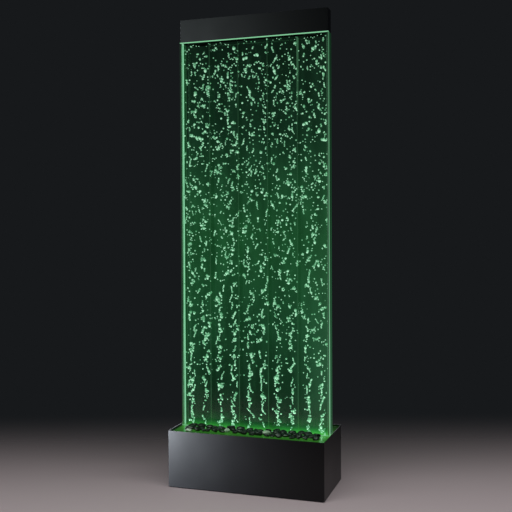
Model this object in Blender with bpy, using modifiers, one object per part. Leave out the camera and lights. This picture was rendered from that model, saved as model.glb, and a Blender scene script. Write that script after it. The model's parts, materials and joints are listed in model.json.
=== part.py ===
"""A floor-standing bubble wall panel, in metres, +Z up, with its front towards -Y.

The origin is on the floor under the middle of the cabinet. A flat tank with five water chambers
stands in a slot in the cabinet's deck. Air from a pump in the cabinet leaves ten nozzles in the
tank's bottom, light comes from two strips under it, and a cap that lifts off closes the top.
"""

import math

import bmesh
import bpy
from mathutils import Vector

# Whole object
TOTAL_HEIGHT = 1.830
FIT_GAP = 0.0003
CUT_OVERRUN = 0.004
WELD_DISTANCE = 0.00001
ROUND_SIDES = 16
SMOOTH_ANGLE = math.radians(35)

# Tank of cast acrylic sheet, glued at its edges
TANK_WIDTH = 0.603
TANK_DEPTH = 0.053
TANK_SHEET = 0.005
TANK_SINK = 0.090
TANK_FLOOR_SHEET = 0.010
CHAMBER_COUNT = 5
DIVIDER_THICKNESS = 0.003
DIVIDER_TOP_DROP = 0.012
LEVELLING_NOTCH_WIDTH = 0.016
LEVELLING_NOTCH_HEIGHT = 0.008

# Cabinet of folded sheet steel
END_MARGIN = 0.0085
BASE_DEPTH = 0.290
BASE_HEIGHT = 0.220
SHEET = 0.0015
BEND_RADIUS = 0.002
FLOOR_CLEARANCE = 0.003
BOTTOM_FLANGE = 0.026
LEDGE_WIDTH = 0.005
FOOT_RADIUS = 0.011

# Air slots in the cabinet's floor, under the pump
FLOOR_SLOT_COUNT = 6
FLOOR_SLOT_LENGTH = 0.050
FLOOR_SLOT_WIDTH = 0.004
FLOOR_SLOT_PITCH = 0.012

# Deck of gloss black acrylic, let in below the cabinet's rim to hold the pebbles
DECK_DROP = 0.004
DECK_THICKNESS = 0.003
SLOT_CLEARANCE = 0.001

# Door in the cabinet's rear wall, which turns on two pins behind its face
DOOR_SIDE_MARGIN = 0.030
DOOR_FREE_MARGIN = 0.120
DOOR_SILL = 0.036
DOOR_HEAD_DROP = 0.036
DOOR_GAP = 0.002
DOOR_RETURN = 0.012
DOOR_AXIS_DEPTH = 0.0045
DOOR_AXIS_INSET = 0.008
FINGER_HOLE_RADIUS = 0.0125
FINGER_HOLE_INSET = 0.032
LOUVRE_ROWS = 5
LOUVRE_COLUMNS = 3
LOUVRE_LENGTH = 0.080
LOUVRE_EDGE_MARGIN = 0.032
LOUVRE_COLUMN_PITCH = 0.110
LOUVRE_RADIUS = 0.007
LOUVRE_SHEET = 0.0012
LOUVRE_ARC_STEPS = 4

# Door's hinge: two ears inside the wall, and a headed pin through each
PIN_RADIUS = 0.0012
PIN_HOLE_PLAY = 0.0003
PIN_HEAD_RADIUS = 0.0024
PIN_HEAD_HEIGHT = 0.0012
PIN_REACH = 0.005
EAR_PLAY = 0.0008
EAR_REACH = 0.010
EAR_DEPTH = 0.011
EAR_LEAF_LENGTH = 0.013
EAR_LEAF_HEIGHT = 0.014

# Magnet that holds the door's steel return
CATCH_LENGTH = 0.030
CATCH_DEPTH = 0.016
CATCH_DROP = 0.014
CATCH_RISE = 0.016
CATCH_EDGE_INSET = 0.014

# Trestles that carry the tank over the cabinet's floor
STAND_END_MARGIN = 0.0915
STAND_LENGTH = 0.040
STAND_LIP_THICKNESS = 0.004
STAND_LIP_HEIGHT = 0.014
STAND_FLANGE_REACH = 0.022
STAND_FLANGE = 0.006
STAND_FILLET = 0.012
STAND_ARCH_WIDTH = 0.036
STAND_ROOF_THICKNESS = 0.041

# Air rail under the tank, with two nozzles for each chamber
RAIL_RADIUS = 0.006
RAIL_OVERHANG = 0.008
NOZZLE_RADIUS = 0.0025
NOZZLE_SPACING = 0.054
NOZZLE_RISE = 0.004
RAIL_INLET_RADIUS = 0.004
RAIL_INLET_LENGTH = 0.014

# Light under the tank: an aluminium channel and a strip with its diffuser, front and rear
CHANNEL_WIDTH = 0.010
CHANNEL_HEIGHT = 0.009
CHANNEL_WALL = 0.001
CHANNEL_OFFSET = 0.0165
CHANNEL_END_MARGIN = 0.015
STRIP_HEIGHT = 0.005

# Air pump: a rubber sole, a body with its outlet, and a lid
PUMP_SIDE_SHIFT = 0.010
PUMP_REAR_MARGIN = 0.022
PUMP_LENGTH = 0.116
PUMP_DEPTH = 0.070
PUMP_HEIGHT = 0.042
PUMP_CORNER = 0.010
PUMP_SOLE_HEIGHT = 0.004
PUMP_STUD_RADIUS = 0.007
PUMP_STUD_HEIGHT = 0.006
PUMP_STUD_INSET = 0.012
PUMP_LID_HEIGHT = 0.014
PUMP_LID_INSET = 0.001
PUMP_LID_CHAMFER = 0.005
PUMP_OUTLET_SHIFT = 0.035
PUMP_OUTLET_RISE = 0.028
PUMP_OUTLET_RADIUS = 0.003
PUMP_OUTLET_LENGTH = 0.009

# Air line: hose, check valve, hose
HOSE_RADIUS = 0.004
HOSE_ARC_STEPS = 2
FIRST_HOSE_LENGTH = 0.020
CHECK_BODY_RADIUS = 0.008
CHECK_BODY_LENGTH = 0.016
CHECK_TAIL_RADIUS = 0.0028
CHECK_TAIL_LENGTH = 0.008
HOSE_STRAIGHT = 0.010
HOSE_REACH = 0.030
HOSE_UPRIGHT = 0.028

# Drain: pipe, ball valve and lever. Each row of shares is a point of the pipe's route, as shares
# of the way from the tank to the valve across, back and down.
DRAIN_INSET = 0.0105
DRAIN_PIPE_RADIUS = 0.005
DRAIN_PIPE_ENTRY = 0.006
DRAIN_ROUTE_SHARES = ((0, 0, 0.25), (0.08, 0.08, 0.60), (0.50, 0.45, 0.95), (1.0, 0.80, 1.0))
DRAIN_VALVE_SIDE_MARGIN = 0.0625
DRAIN_VALVE_REAR_MARGIN = 0.069
DRAIN_VALVE_RISE = 0.0434
VALVE_BALL_RADIUS = 0.014
VALVE_BALL_HALF = 0.014
VALVE_INLET_RADIUS = 0.010
VALVE_INLET_LENGTH = 0.012
VALVE_OUTLET_RADIUS = 0.009
VALVE_OUTLET_LENGTH = 0.020
VALVE_BORE_RADIUS = 0.006
VALVE_BORE_DEPTH = 0.016
VALVE_CHAMFER = 0.002
VALVE_BOSS_RADIUS = 0.006
VALVE_BOSS_RISE = 0.006
STEM_RADIUS = 0.0025
STEM_DEPTH = 0.005
LEVER_LENGTH = 0.040
LEVER_WIDTH = 0.011
LEVER_HUB_RADIUS = 0.009
LEVER_THICKNESS = 0.004

# Light driver and its lead to the strip. The shares are points of the lead's route, as shares of
# its whole way, and the end knots are how far it swings out before it enters the channel.
DRIVER_SIDE_SHIFT = 0.010
DRIVER_REAR_MARGIN = 0.032
DRIVER_LENGTH = 0.120
DRIVER_DEPTH = 0.050
DRIVER_HEIGHT = 0.030
DRIVER_CORNER = 0.003
DRIVER_EAR_LENGTH = 0.010
DRIVER_EAR_THICKNESS = 0.002
DRIVER_EAR_HOLE_RADIUS = 0.002
LEAD_RADIUS = 0.002
LEAD_ARC_STEPS = 1
LEAD_STRAIGHT = 0.015
LEAD_ROUTE_SHARES = ((0.60, 0.25, 0.15), (0.95, 0.65, 0.45))
LEAD_END_KNOTS = ((0.012, -0.0038, 0.015), (0.009, 0, 0.0025), (0.0038, 0, 0))

# Recessed panel for the switches and the mains inlet
PANEL_WIDTH = 0.070
PANEL_HEIGHT = 0.110
PANEL_INSET = 0.020
PANEL_FLANGE = 0.008
PANEL_RECESS = 0.010

# Rocker switches: a housing with a bezel, and a rocker on two stubs
SWITCH_SPACING = 0.028
SWITCH_RISE = 0.022
BEZEL_WIDTH = 0.015
BEZEL_HEIGHT = 0.0225
BEZEL_THICKNESS = 0.0015
HOUSING_WIDTH = 0.0125
HOUSING_HEIGHT = 0.0205
HOUSING_LENGTH = 0.012
HOUSING_WALL = 0.0012
ROCKER_PLAY = 0.0005
ROCKER_PIVOT_DEPTH = 0.002
ROCKER_VALLEY = 0.0018
ROCKER_LIP_ANGLE = math.radians(24)
ROCKER_BELLY_ANGLE = math.radians(20)
ROCKER_TILT = math.radians(8)
ROCKER_ARC_STEPS = 4
ROCKER_STUB_RADIUS = 0.0012
ROCKER_STUB_REACH = 0.0008

# Mains inlet with three flat pins
INLET_DROP = 0.026
INLET_FLANGE_WIDTH = 0.031
INLET_FLANGE_HEIGHT = 0.024
INLET_FLANGE_THICKNESS = 0.002
INLET_BODY_WIDTH = 0.027
INLET_BODY_HEIGHT = 0.020
INLET_BODY_LENGTH = 0.020
INLET_WALL = 0.0015
INLET_CAVITY_DEPTH = 0.018
PIN_BLADE_WIDTH = 0.002
PIN_BLADE_HEIGHT = 0.004
PIN_BLADE_LENGTH = 0.012
PIN_BLADE_SPACING = 0.007
PIN_BLADE_OFFSET = 0.003

# Cap of folded sheet steel, and the two saddles that keep it on the tank
CAP_HEIGHT = 0.088
CAP_INSET = 0.0015
CAP_VENT_COUNT = 8
CAP_VENT_LENGTH = 0.030
CAP_VENT_HEIGHT = 0.004
CAP_VENT_PITCH = 0.060
CAP_VENT_DROP = 0.018
SADDLE_LENGTH = 0.070
SADDLE_WALL = 0.002
SADDLE_RISE = 0.014
SADDLE_DROP = 0.009
SADDLE_PLAY = 0.0007

# Loose pebbles on the front of the deck. Each row has its place along the deck and across its
# front strip, its length, width and height as shares of the largest pebble, and its turn.
PEBBLE_LENGTH = 0.046
PEBBLE_WIDTH = 0.032
PEBBLE_HEIGHT = 0.019
PEBBLE_SEGMENTS = 14
PEBBLE_RINGS = 8
PEBBLE_FLAT_SHARE = 0.84
PEBBLE_SQUARE_SHARE = 0.82
PEBBLE_LEAN_SHARE = 0.10
PALE_PEBBLES = (2, 4, 7)
PEBBLE_SHARES = (
    (-0.398, 0.51, 1.00, 0.94, 0.95, 10),
    (-0.383, 0.15, 0.63, 0.60, 0.74, -12),
    (-0.221, 0.53, 1.00, 0.95, 0.86, -6),
    (-0.139, 0.41, 0.59, 0.69, 1.00, 20),
    (-0.053, 0.54, 1.00, 1.00, 0.92, 12),
    (0.028, 0.51, 0.90, 0.90, 0.90, -15),
    (0.114, 0.53, 0.78, 0.80, 1.00, 8),
    (0.178, 0.66, 0.70, 0.78, 1.00, -25),
    (0.250, 0.45, 0.93, 0.90, 0.86, 6),
    (0.414, 0.50, 1.00, 0.95, 0.95, -14),
)

# Places worked out from the sizes above
BASE_WIDTH = TANK_WIDTH + 2 * END_MARGIN
INNER_X = BASE_WIDTH / 2 - SHEET
INNER_Y = BASE_DEPTH / 2 - SHEET
REAR_WALL_INSIDE = INNER_Y - FIT_GAP
FLOOR_FOOT = FLOOR_CLEARANCE + SHEET + FIT_GAP
FLOOR_TOP = FLOOR_FOOT + SHEET
ON_FLOOR = FLOOR_TOP + FIT_GAP
DECK_TOP = BASE_HEIGHT - DECK_DROP
DECK_FOOT = DECK_TOP - DECK_THICKNESS
LEDGE_TOP = DECK_FOOT - FIT_GAP
LEDGE_FOOT = LEDGE_TOP - SHEET
TANK_FOOT = BASE_HEIGHT - TANK_SINK
TANK_TOP = TOTAL_HEIGHT - CAP_HEIGHT
TANK_INNER_X = TANK_WIDTH / 2 - TANK_SHEET
TANK_INNER_Y = TANK_DEPTH / 2 - TANK_SHEET
TANK_FLOOR_TOP = TANK_FOOT + TANK_FLOOR_SHEET
CHAMBER_WIDTH = (2 * TANK_INNER_X - (CHAMBER_COUNT - 1) * DIVIDER_THICKNESS) / CHAMBER_COUNT
CHAMBER_PITCH = CHAMBER_WIDTH + DIVIDER_THICKNESS
FIRST_CHAMBER_X = -CHAMBER_PITCH * (CHAMBER_COUNT - 1) / 2
UNDER_TANK = TANK_FOOT - FIT_GAP
RAIL_Z = UNDER_TANK - RAIL_RADIUS
STAND_SPACING = TANK_WIDTH / 2 - STAND_END_MARGIN
STAND_ARCH_TOP = RAIL_Z - RAIL_RADIUS - FIT_GAP - STAND_ROOF_THICKNESS
RAIL_INLET_X = STAND_SPACING / 2
RAIL_INLET_FOOT = RAIL_Z - RAIL_RADIUS - RAIL_INLET_LENGTH
PUMP_X = STAND_SPACING / 2 + PUMP_SIDE_SHIFT
PUMP_Y = BASE_DEPTH / 2 - PUMP_REAR_MARGIN - PUMP_DEPTH / 2
DRIVER_X = -STAND_SPACING / 2 - DRIVER_SIDE_SHIFT
DRIVER_Y = BASE_DEPTH / 2 - DRIVER_REAR_MARGIN - DRIVER_DEPTH / 2
DRAIN_X = TANK_INNER_X - DRAIN_INSET
DRAIN_VALVE_X = INNER_X - DRAIN_VALVE_SIDE_MARGIN
DRAIN_VALVE_Y = BASE_DEPTH / 2 - DRAIN_VALVE_REAR_MARGIN
DRAIN_VALVE_Z = ON_FLOOR + DRAIN_VALVE_RISE
DOOR_HINGE_SIDE = BASE_WIDTH / 2 - DOOR_SIDE_MARGIN
DOOR_FREE_SIDE = -BASE_WIDTH / 2 + DOOR_FREE_MARGIN
DOOR_HEAD = BASE_HEIGHT - DOOR_HEAD_DROP
DOOR_AXIS_X = DOOR_HINGE_SIDE - DOOR_GAP - DOOR_AXIS_INSET
DOOR_AXIS_Y = BASE_DEPTH / 2 - DOOR_AXIS_DEPTH
DOOR_FOOT = DOOR_SILL + DOOR_GAP
DOOR_TOP = DOOR_HEAD - DOOR_GAP
LOUVRE_PITCH = (DOOR_TOP - DOOR_FOOT - 2 * LOUVRE_EDGE_MARGIN) / (LOUVRE_ROWS - 1)
PANEL_X = -BASE_WIDTH / 2 + PANEL_INSET + PANEL_WIDTH / 2
PANEL_Z = BASE_HEIGHT / 2
PANEL_FACE = REAR_WALL_INSIDE - PANEL_RECESS
SWITCH_Z = PANEL_Z + SWITCH_RISE
SWITCH_FACE = PANEL_FACE + FIT_GAP + BEZEL_THICKNESS
ROCKER_PIVOT_Y = SWITCH_FACE - ROCKER_PIVOT_DEPTH
ROCKER_HALF_WIDTH = HOUSING_WIDTH / 2 - HOUSING_WALL - ROCKER_PLAY
ROCKER_RADIUS = HOUSING_HEIGHT / 2 - HOUSING_WALL - ROCKER_PLAY
INLET_Z = PANEL_Z - INLET_DROP


def empty_scene():
    for obj in list(bpy.data.objects):
        bpy.data.objects.remove(obj)


def new_collection(name):
    collection = bpy.data.collections.new(name)
    bpy.context.scene.collection.children.link(collection)
    return collection


def new_material(name, colour, roughness, metallic=0.0, alpha=1.0):
    material = bpy.data.materials.new(name)
    material.use_nodes = True
    shader = material.node_tree.nodes["Principled BSDF"]
    shader.inputs["Base Color"].default_value = (*colour, 1.0)
    shader.inputs["Roughness"].default_value = roughness
    shader.inputs["Metallic"].default_value = metallic
    shader.inputs["Alpha"].default_value = alpha
    return material


empty_scene()
PARTS = new_collection("bubble_wall_panel")
TOOLS = new_collection("cutters")

POWDER_COAT = new_material("powder_coat_black", (0.020, 0.021, 0.024), 0.42, 0.0)
ZINC_STEEL = new_material("zinc_plated_steel", (0.55, 0.56, 0.58), 0.35, 1.0)
GLOSS_ACRYLIC = new_material("gloss_black_acrylic", (0.010, 0.011, 0.012), 0.06)
CLEAR_ACRYLIC = new_material("clear_acrylic", (0.75, 0.95, 0.82), 0.03, 0.0, 0.25)
EDGE_LIT_ACRYLIC = new_material("edge_lit_acrylic", (0.22, 0.85, 0.45), 0.10, 0.0, 0.60)
SMOKED_ACRYLIC = new_material("smoked_acrylic", (0.012, 0.025, 0.018), 0.05, 0.0, 0.85)
BLACK_RUBBER = new_material("black_rubber", (0.015, 0.015, 0.015), 0.85)
BLACK_PLASTIC = new_material("black_plastic", (0.025, 0.025, 0.027), 0.45)
GREY_PLASTIC = new_material("grey_plastic", (0.30, 0.31, 0.32), 0.55)
ALUMINIUM = new_material("extruded_aluminium", (0.72, 0.73, 0.75), 0.35, 1.0)
DIFFUSER = new_material("green_lit_diffuser", (0.25, 0.95, 0.45), 0.40)
SILICONE = new_material("clear_silicone", (0.70, 0.74, 0.72), 0.35, 0.0, 0.60)
BRASS = new_material("nickel_plated_brass", (0.62, 0.57, 0.45), 0.30, 1.0)
DARK_PEBBLE = new_material("dark_pebble", (0.022, 0.024, 0.023), 0.30)
PALE_PEBBLE = new_material("pale_pebble", (0.45, 0.52, 0.46), 0.45)


def link_part(obj, material):
    PARTS.objects.link(obj)
    obj.data.materials.append(material)
    return obj


def link_tool(obj):
    TOOLS.objects.link(obj)
    obj.hide_render = True
    obj.display_type = "WIRE"
    return obj


def box(name, low, high):
    """A block between two corners, with its origin in its middle."""
    low = Vector(low)
    high = Vector(high)
    form = bmesh.new()
    bmesh.ops.create_cube(form, size=1)
    bmesh.ops.scale(form, vec=high - low, verts=form.verts)
    mesh = bpy.data.meshes.new(name)
    form.to_mesh(mesh)
    form.free()
    obj = bpy.data.objects.new(name, mesh)
    obj.location = (low + high) / 2
    return obj


def rod(name, radius, start, end, sides=ROUND_SIDES):
    """A cylinder from one point to another."""
    start = Vector(start)
    end = Vector(end)
    run = end - start
    form = bmesh.new()
    bmesh.ops.create_cone(
        form, cap_ends=True, segments=sides, radius1=radius, radius2=radius, depth=run.length
    )
    mesh = bpy.data.meshes.new(name)
    form.to_mesh(mesh)
    form.free()
    obj = bpy.data.objects.new(name, mesh)
    obj.location = (start + end) / 2
    obj.rotation_euler = run.to_track_quat("Z", "Y").to_euler()
    return obj


def turned(name, profile, foot, direction):
    """A profile of (radius, height) points, from its top down, turned about its own Z axis."""
    mesh = bpy.data.meshes.new(name)
    points = [(radius, 0, height) for radius, height in profile]
    mesh.from_pydata(points, [(i, i + 1) for i in range(len(points) - 1)], [])
    obj = bpy.data.objects.new(name, mesh)
    obj.location = foot
    obj.rotation_euler = Vector(direction).to_track_quat("Z", "Y").to_euler()
    screw = obj.modifiers.new("turn", "SCREW")
    screw.steps = ROUND_SIDES
    screw.render_steps = ROUND_SIDES
    screw.use_merge_vertices = True
    screw.merge_threshold = WELD_DISTANCE
    return obj


def extruded(name, outlines, thickness):
    """Flat outlines of (across, up) points, the later ones holes, drawn out to both sides."""
    curve = bpy.data.curves.new(name, "CURVE")
    curve.dimensions = "2D"
    curve.fill_mode = "BOTH"
    curve.extrude = thickness / 2
    for outline in outlines:
        spline = curve.splines.new("POLY")
        spline.points.add(len(outline) - 1)
        for point, (across, up) in zip(spline.points, outline):
            point.co = (across, up, 0, 1)
        spline.use_cyclic_u = True
    return bpy.data.objects.new(name, curve)


def along_x(obj, x):
    """Turns an outline so that its across is +Y and its up is +Z, and puts it at x."""
    obj.rotation_euler = (math.pi / 2, 0, math.pi / 2)
    obj.location = (x, 0, 0)
    return obj


def as_mesh(obj):
    """The same shape as a mesh object with welded caps, for Booleans."""
    holder = bpy.context.scene.collection
    holder.objects.link(obj)
    bpy.context.view_layer.update()
    graph = bpy.context.evaluated_depsgraph_get()
    mesh = bpy.data.meshes.new_from_object(obj.evaluated_get(graph))
    form = bmesh.new()
    form.from_mesh(mesh)
    bmesh.ops.remove_doubles(form, verts=form.verts, dist=WELD_DISTANCE)
    bmesh.ops.recalc_face_normals(form, faces=form.faces)
    form.to_mesh(mesh)
    form.free()
    name = obj.name
    place = obj.matrix_world.copy()
    bpy.data.objects.remove(obj)
    made = bpy.data.objects.new(name, mesh)
    made.matrix_world = place
    return made


def repeat(obj, count, step):
    """Copies of a shape at even steps in the world's axes, as one object of separate bodies."""
    array = obj.modifiers.new("repeat", "ARRAY")
    array.count = count
    array.use_relative_offset = False
    array.use_constant_offset = True
    array.constant_offset_displace = obj.rotation_euler.to_matrix().inverted() @ Vector(step)
    return obj


def combine(obj, tool, operation):
    modifier = obj.modifiers.new(tool.name, "BOOLEAN")
    modifier.operation = operation
    modifier.solver = "EXACT"
    modifier.object = link_tool(tool)
    return obj


def cut(obj, tool):
    return combine(obj, tool, "DIFFERENCE")


def weld_on(obj, tool):
    return combine(obj, tool, "UNION")


def round_edges(obj, radius, segments, chosen=None):
    """Bevels the edges whose direction is chosen, or all of them."""
    bevel = obj.modifiers.new("round", "BEVEL")
    bevel.width = radius
    bevel.segments = segments
    bevel.limit_method = "WEIGHT" if chosen else "ANGLE"
    if chosen:
        mesh = obj.data
        weights = mesh.attributes.new("bevel_weight_edge", "FLOAT", "EDGE")
        for edge in mesh.edges:
            ends = [mesh.vertices[index].co for index in edge.vertices]
            run = (ends[1] - ends[0]).normalized()
            if abs(run.dot(Vector(chosen))) > math.cos(SMOOTH_ANGLE):
                weights.data[edge.index].value = 1.0
    return obj


def smooth(obj):
    obj.data.shade_smooth()
    obj.data.set_sharp_from_angle(angle=SMOOTH_ANGLE)
    return obj


def arc(middle, radius, start, end, steps):
    """Points of a circle's arc, both ends included."""
    across, up = middle
    points = []
    for i in range(steps + 1):
        angle = start + (end - start) * i / steps
        points.append((across + radius * math.cos(angle), up + radius * math.sin(angle)))
    return points


def mirrored(half):
    """A half outline, from its lowest point up, and its mirror image in across = 0."""
    return half + [(-across, up) for across, up in reversed(half)]


def smooth_route(knots, per_span):
    """Points of a Catmull-Rom curve through the knots, with its first and last run straight."""
    points = [knots[0]]
    for before, a, b, after in zip(knots, knots[1:], knots[2:], knots[3:]):
        for i in range(per_span):
            t = i / per_span
            points.append(
                (2 * a + (b - before) * t + (2 * before - 5 * a + 4 * b - after) * t * t
                 + (3 * a - before - 3 * b + after) * t * t * t) / 2
            )
    return points + knots[-2:]


def on_the_way(start, end, shares):
    """Points between two others, each by its shares of the way along X, Y and Z."""
    way = end - start
    return [start + Vector((way.x * a, way.y * b, way.z * c)) for a, b, c in shares]


def tube(name, points, radius, arc_steps):
    curve = bpy.data.curves.new(name, "CURVE")
    curve.dimensions = "3D"
    curve.bevel_depth = radius
    curve.bevel_resolution = arc_steps
    curve.use_fill_caps = True
    spline = curve.splines.new("POLY")
    spline.points.add(len(points) - 1)
    for point, place in zip(spline.points, points):
        point.co = (*place, 1)
    spline.use_smooth = True
    return bpy.data.objects.new(name, curve)


def axis_at(name, place):
    """An empty on a joint's axis, which carries the pieces that move about it."""
    empty = bpy.data.objects.new(name, None)
    PARTS.objects.link(empty)
    empty.location = place
    bpy.context.view_layer.update()
    return empty


def carry(empty, *pieces):
    for piece in pieces:
        piece.parent = empty
        piece.matrix_parent_inverse = empty.matrix_world.inverted()


def make_cabinet_shell():
    """Front, sides and rear in one wrap, with a flange turned in at the foot and a deck ledge."""
    shell = box(
        "cabinet_shell",
        (-BASE_WIDTH / 2, -BASE_DEPTH / 2, FLOOR_CLEARANCE),
        (BASE_WIDTH / 2, BASE_DEPTH / 2, BASE_HEIGHT),
    )
    link_part(shell, POWDER_COAT)
    round_edges(shell, BEND_RADIUS, 3, (0, 0, 1))
    cut(shell, box(
        "cabinet_inside",
        (-INNER_X, -INNER_Y, FLOOR_CLEARANCE + SHEET),
        (INNER_X, INNER_Y, LEDGE_FOOT),
    ))
    open_x = INNER_X - BOTTOM_FLANGE
    open_y = INNER_Y - BOTTOM_FLANGE
    cut(shell, box(
        "cabinet_bottom_opening",
        (-open_x, -open_y, FLOOR_CLEARANCE - CUT_OVERRUN),
        (open_x, open_y, FLOOR_CLEARANCE + SHEET + CUT_OVERRUN),
    ))
    ledge_x = INNER_X - LEDGE_WIDTH
    ledge_y = INNER_Y - LEDGE_WIDTH
    cut(shell, box(
        "cabinet_ledge_opening",
        (-ledge_x, -ledge_y, LEDGE_FOOT - CUT_OVERRUN),
        (ledge_x, ledge_y, LEDGE_TOP + DECK_DROP / 2),
    ))
    cut(shell, box(
        "cabinet_deck_recess",
        (-INNER_X, -INNER_Y, LEDGE_TOP),
        (INNER_X, INNER_Y, BASE_HEIGHT + CUT_OVERRUN),
    ))
    cut(shell, box(
        "cabinet_door_opening",
        (DOOR_FREE_SIDE, INNER_Y - CUT_OVERRUN, DOOR_SILL),
        (DOOR_HINGE_SIDE, BASE_DEPTH / 2 + CUT_OVERRUN, DOOR_HEAD),
    ))
    window_x = PANEL_WIDTH / 2 - SHEET
    window_z = PANEL_HEIGHT / 2 - SHEET
    cut(shell, box(
        "cabinet_panel_window",
        (PANEL_X - window_x, INNER_Y - CUT_OVERRUN, PANEL_Z - window_z),
        (PANEL_X + window_x, BASE_DEPTH / 2 + CUT_OVERRUN, PANEL_Z + window_z),
    ))


def make_bottom_plate():
    """The cabinet's floor, laid on the shell's flange, with air slots under the pump."""
    plate = box(
        "bottom_plate",
        (-INNER_X + FIT_GAP, -INNER_Y + FIT_GAP, FLOOR_FOOT),
        (INNER_X - FIT_GAP, INNER_Y - FIT_GAP, FLOOR_TOP),
    )
    link_part(plate, ZINC_STEEL)
    first_y = PUMP_Y - FLOOR_SLOT_PITCH * (FLOOR_SLOT_COUNT - 1) / 2
    slot = box(
        "bottom_plate_slots",
        (PUMP_X - FLOOR_SLOT_LENGTH / 2, first_y - FLOOR_SLOT_WIDTH / 2, FLOOR_FOOT - CUT_OVERRUN),
        (PUMP_X + FLOOR_SLOT_LENGTH / 2, first_y + FLOOR_SLOT_WIDTH / 2, FLOOR_TOP + CUT_OVERRUN),
    )
    cut(plate, repeat(slot, FLOOR_SLOT_COUNT, (0, FLOOR_SLOT_PITCH, 0)))


def make_deck():
    """The cabinet's top, with the slot that the tank comes up through."""
    deck = box(
        "deck",
        (-INNER_X + FIT_GAP, -INNER_Y + FIT_GAP, DECK_FOOT),
        (INNER_X - FIT_GAP, INNER_Y - FIT_GAP, DECK_TOP),
    )
    link_part(deck, GLOSS_ACRYLIC)
    slot_x = TANK_WIDTH / 2 + SLOT_CLEARANCE
    slot_y = TANK_DEPTH / 2 + SLOT_CLEARANCE
    cut(deck, box(
        "deck_slot",
        (-slot_x, -slot_y, DECK_FOOT - CUT_OVERRUN),
        (slot_x, slot_y, DECK_TOP + CUT_OVERRUN),
    ))


def make_feet():
    inset = SHEET + BOTTOM_FLANGE / 2
    for side, x in (("left", -1), ("right", 1)):
        for end, y in (("front", -1), ("rear", 1)):
            place = (x * (BASE_WIDTH / 2 - inset), y * (BASE_DEPTH / 2 - inset), 0)
            top = FLOOR_CLEARANCE - FIT_GAP
            chamfer = top / 3
            profile = [
                (0, top), (FOOT_RADIUS, top), (FOOT_RADIUS, chamfer),
                (FOOT_RADIUS - chamfer, 0), (0, 0),
            ]
            foot = turned(f"foot_{end}_{side}", profile, place, (0, 0, 1))
            link_part(foot, BLACK_RUBBER)


def louvre_hood():
    """The quarter-round hood of one louvre, pressed inwards over its slot, in (Y, Z)."""
    inside = BASE_DEPTH / 2 - SHEET
    middle = (inside, DOOR_FOOT)
    outer = arc(middle, LOUVRE_RADIUS, math.pi / 2, math.pi, LOUVRE_ARC_STEPS)
    inner = arc(middle, LOUVRE_RADIUS - LOUVRE_SHEET, math.pi, math.pi / 2, LOUVRE_ARC_STEPS)
    root = SHEET / 2
    return (
        [(inside + root, DOOR_FOOT + LOUVRE_RADIUS)] + outer + inner
        + [(inside + root, DOOR_FOOT + LOUVRE_RADIUS - LOUVRE_SHEET)]
    )


def make_service_door():
    """A shallow steel pan with louvres and a finger hole, on its hinge axis."""
    free_x = DOOR_FREE_SIDE + DOOR_GAP
    hinge_x = DOOR_HINGE_SIDE - DOOR_GAP
    face = BASE_DEPTH / 2
    door = box("service_door", (free_x, face - DOOR_RETURN, DOOR_FOOT), (hinge_x, face, DOOR_TOP))
    link_part(door, POWDER_COAT)
    cut(door, box(
        "door_inside",
        (free_x + SHEET, face - DOOR_RETURN - CUT_OVERRUN, DOOR_FOOT + SHEET),
        (hinge_x - SHEET, face - SHEET, DOOR_TOP - SHEET),
    ))
    middle_x = (free_x + hinge_x) / 2 + FINGER_HOLE_INSET / 2
    middle_z = (DOOR_FOOT + DOOR_TOP) / 2
    first_x = middle_x - LOUVRE_COLUMN_PITCH * (LOUVRE_COLUMNS - 1) / 2
    first_z = middle_z - LOUVRE_PITCH * (LOUVRE_ROWS - 1) / 2 - LOUVRE_RADIUS / 2
    slot = box(
        "door_louvre_slots",
        (first_x - LOUVRE_LENGTH / 2 + LOUVRE_SHEET, face - SHEET - LOUVRE_SHEET, first_z),
        (first_x + LOUVRE_LENGTH / 2 - LOUVRE_SHEET, face + CUT_OVERRUN,
         first_z + LOUVRE_RADIUS - 2 * LOUVRE_SHEET),
    )
    repeat(slot, LOUVRE_COLUMNS, (LOUVRE_COLUMN_PITCH, 0, 0))
    repeat(slot, LOUVRE_ROWS, (0, 0, LOUVRE_PITCH))
    hood = as_mesh(along_x(extruded("door_louvre_hoods", [louvre_hood()], LOUVRE_LENGTH), first_x))
    hood.location.z += first_z - DOOR_FOOT
    hood.name = "door_louvre_hoods"
    repeat(hood, LOUVRE_COLUMNS, (LOUVRE_COLUMN_PITCH, 0, 0))
    repeat(hood, LOUVRE_ROWS, (0, 0, LOUVRE_PITCH))
    weld_on(door, hood)
    cut(door, slot)
    hole_x = free_x + FINGER_HOLE_INSET
    cut(door, rod(
        "door_finger_hole", FINGER_HOLE_RADIUS,
        (hole_x, face - SHEET - CUT_OVERRUN, middle_z), (hole_x, face + CUT_OVERRUN, middle_z),
    ))
    cut(door, rod(
        "door_pin_holes", PIN_RADIUS + PIN_HOLE_PLAY,
        (DOOR_AXIS_X, DOOR_AXIS_Y, DOOR_FOOT - CUT_OVERRUN),
        (DOOR_AXIS_X, DOOR_AXIS_Y, DOOR_TOP + CUT_OVERRUN),
    ))
    carry(axis_at("service_door_axis", (DOOR_AXIS_X, DOOR_AXIS_Y, DOOR_FOOT)), door)


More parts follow.
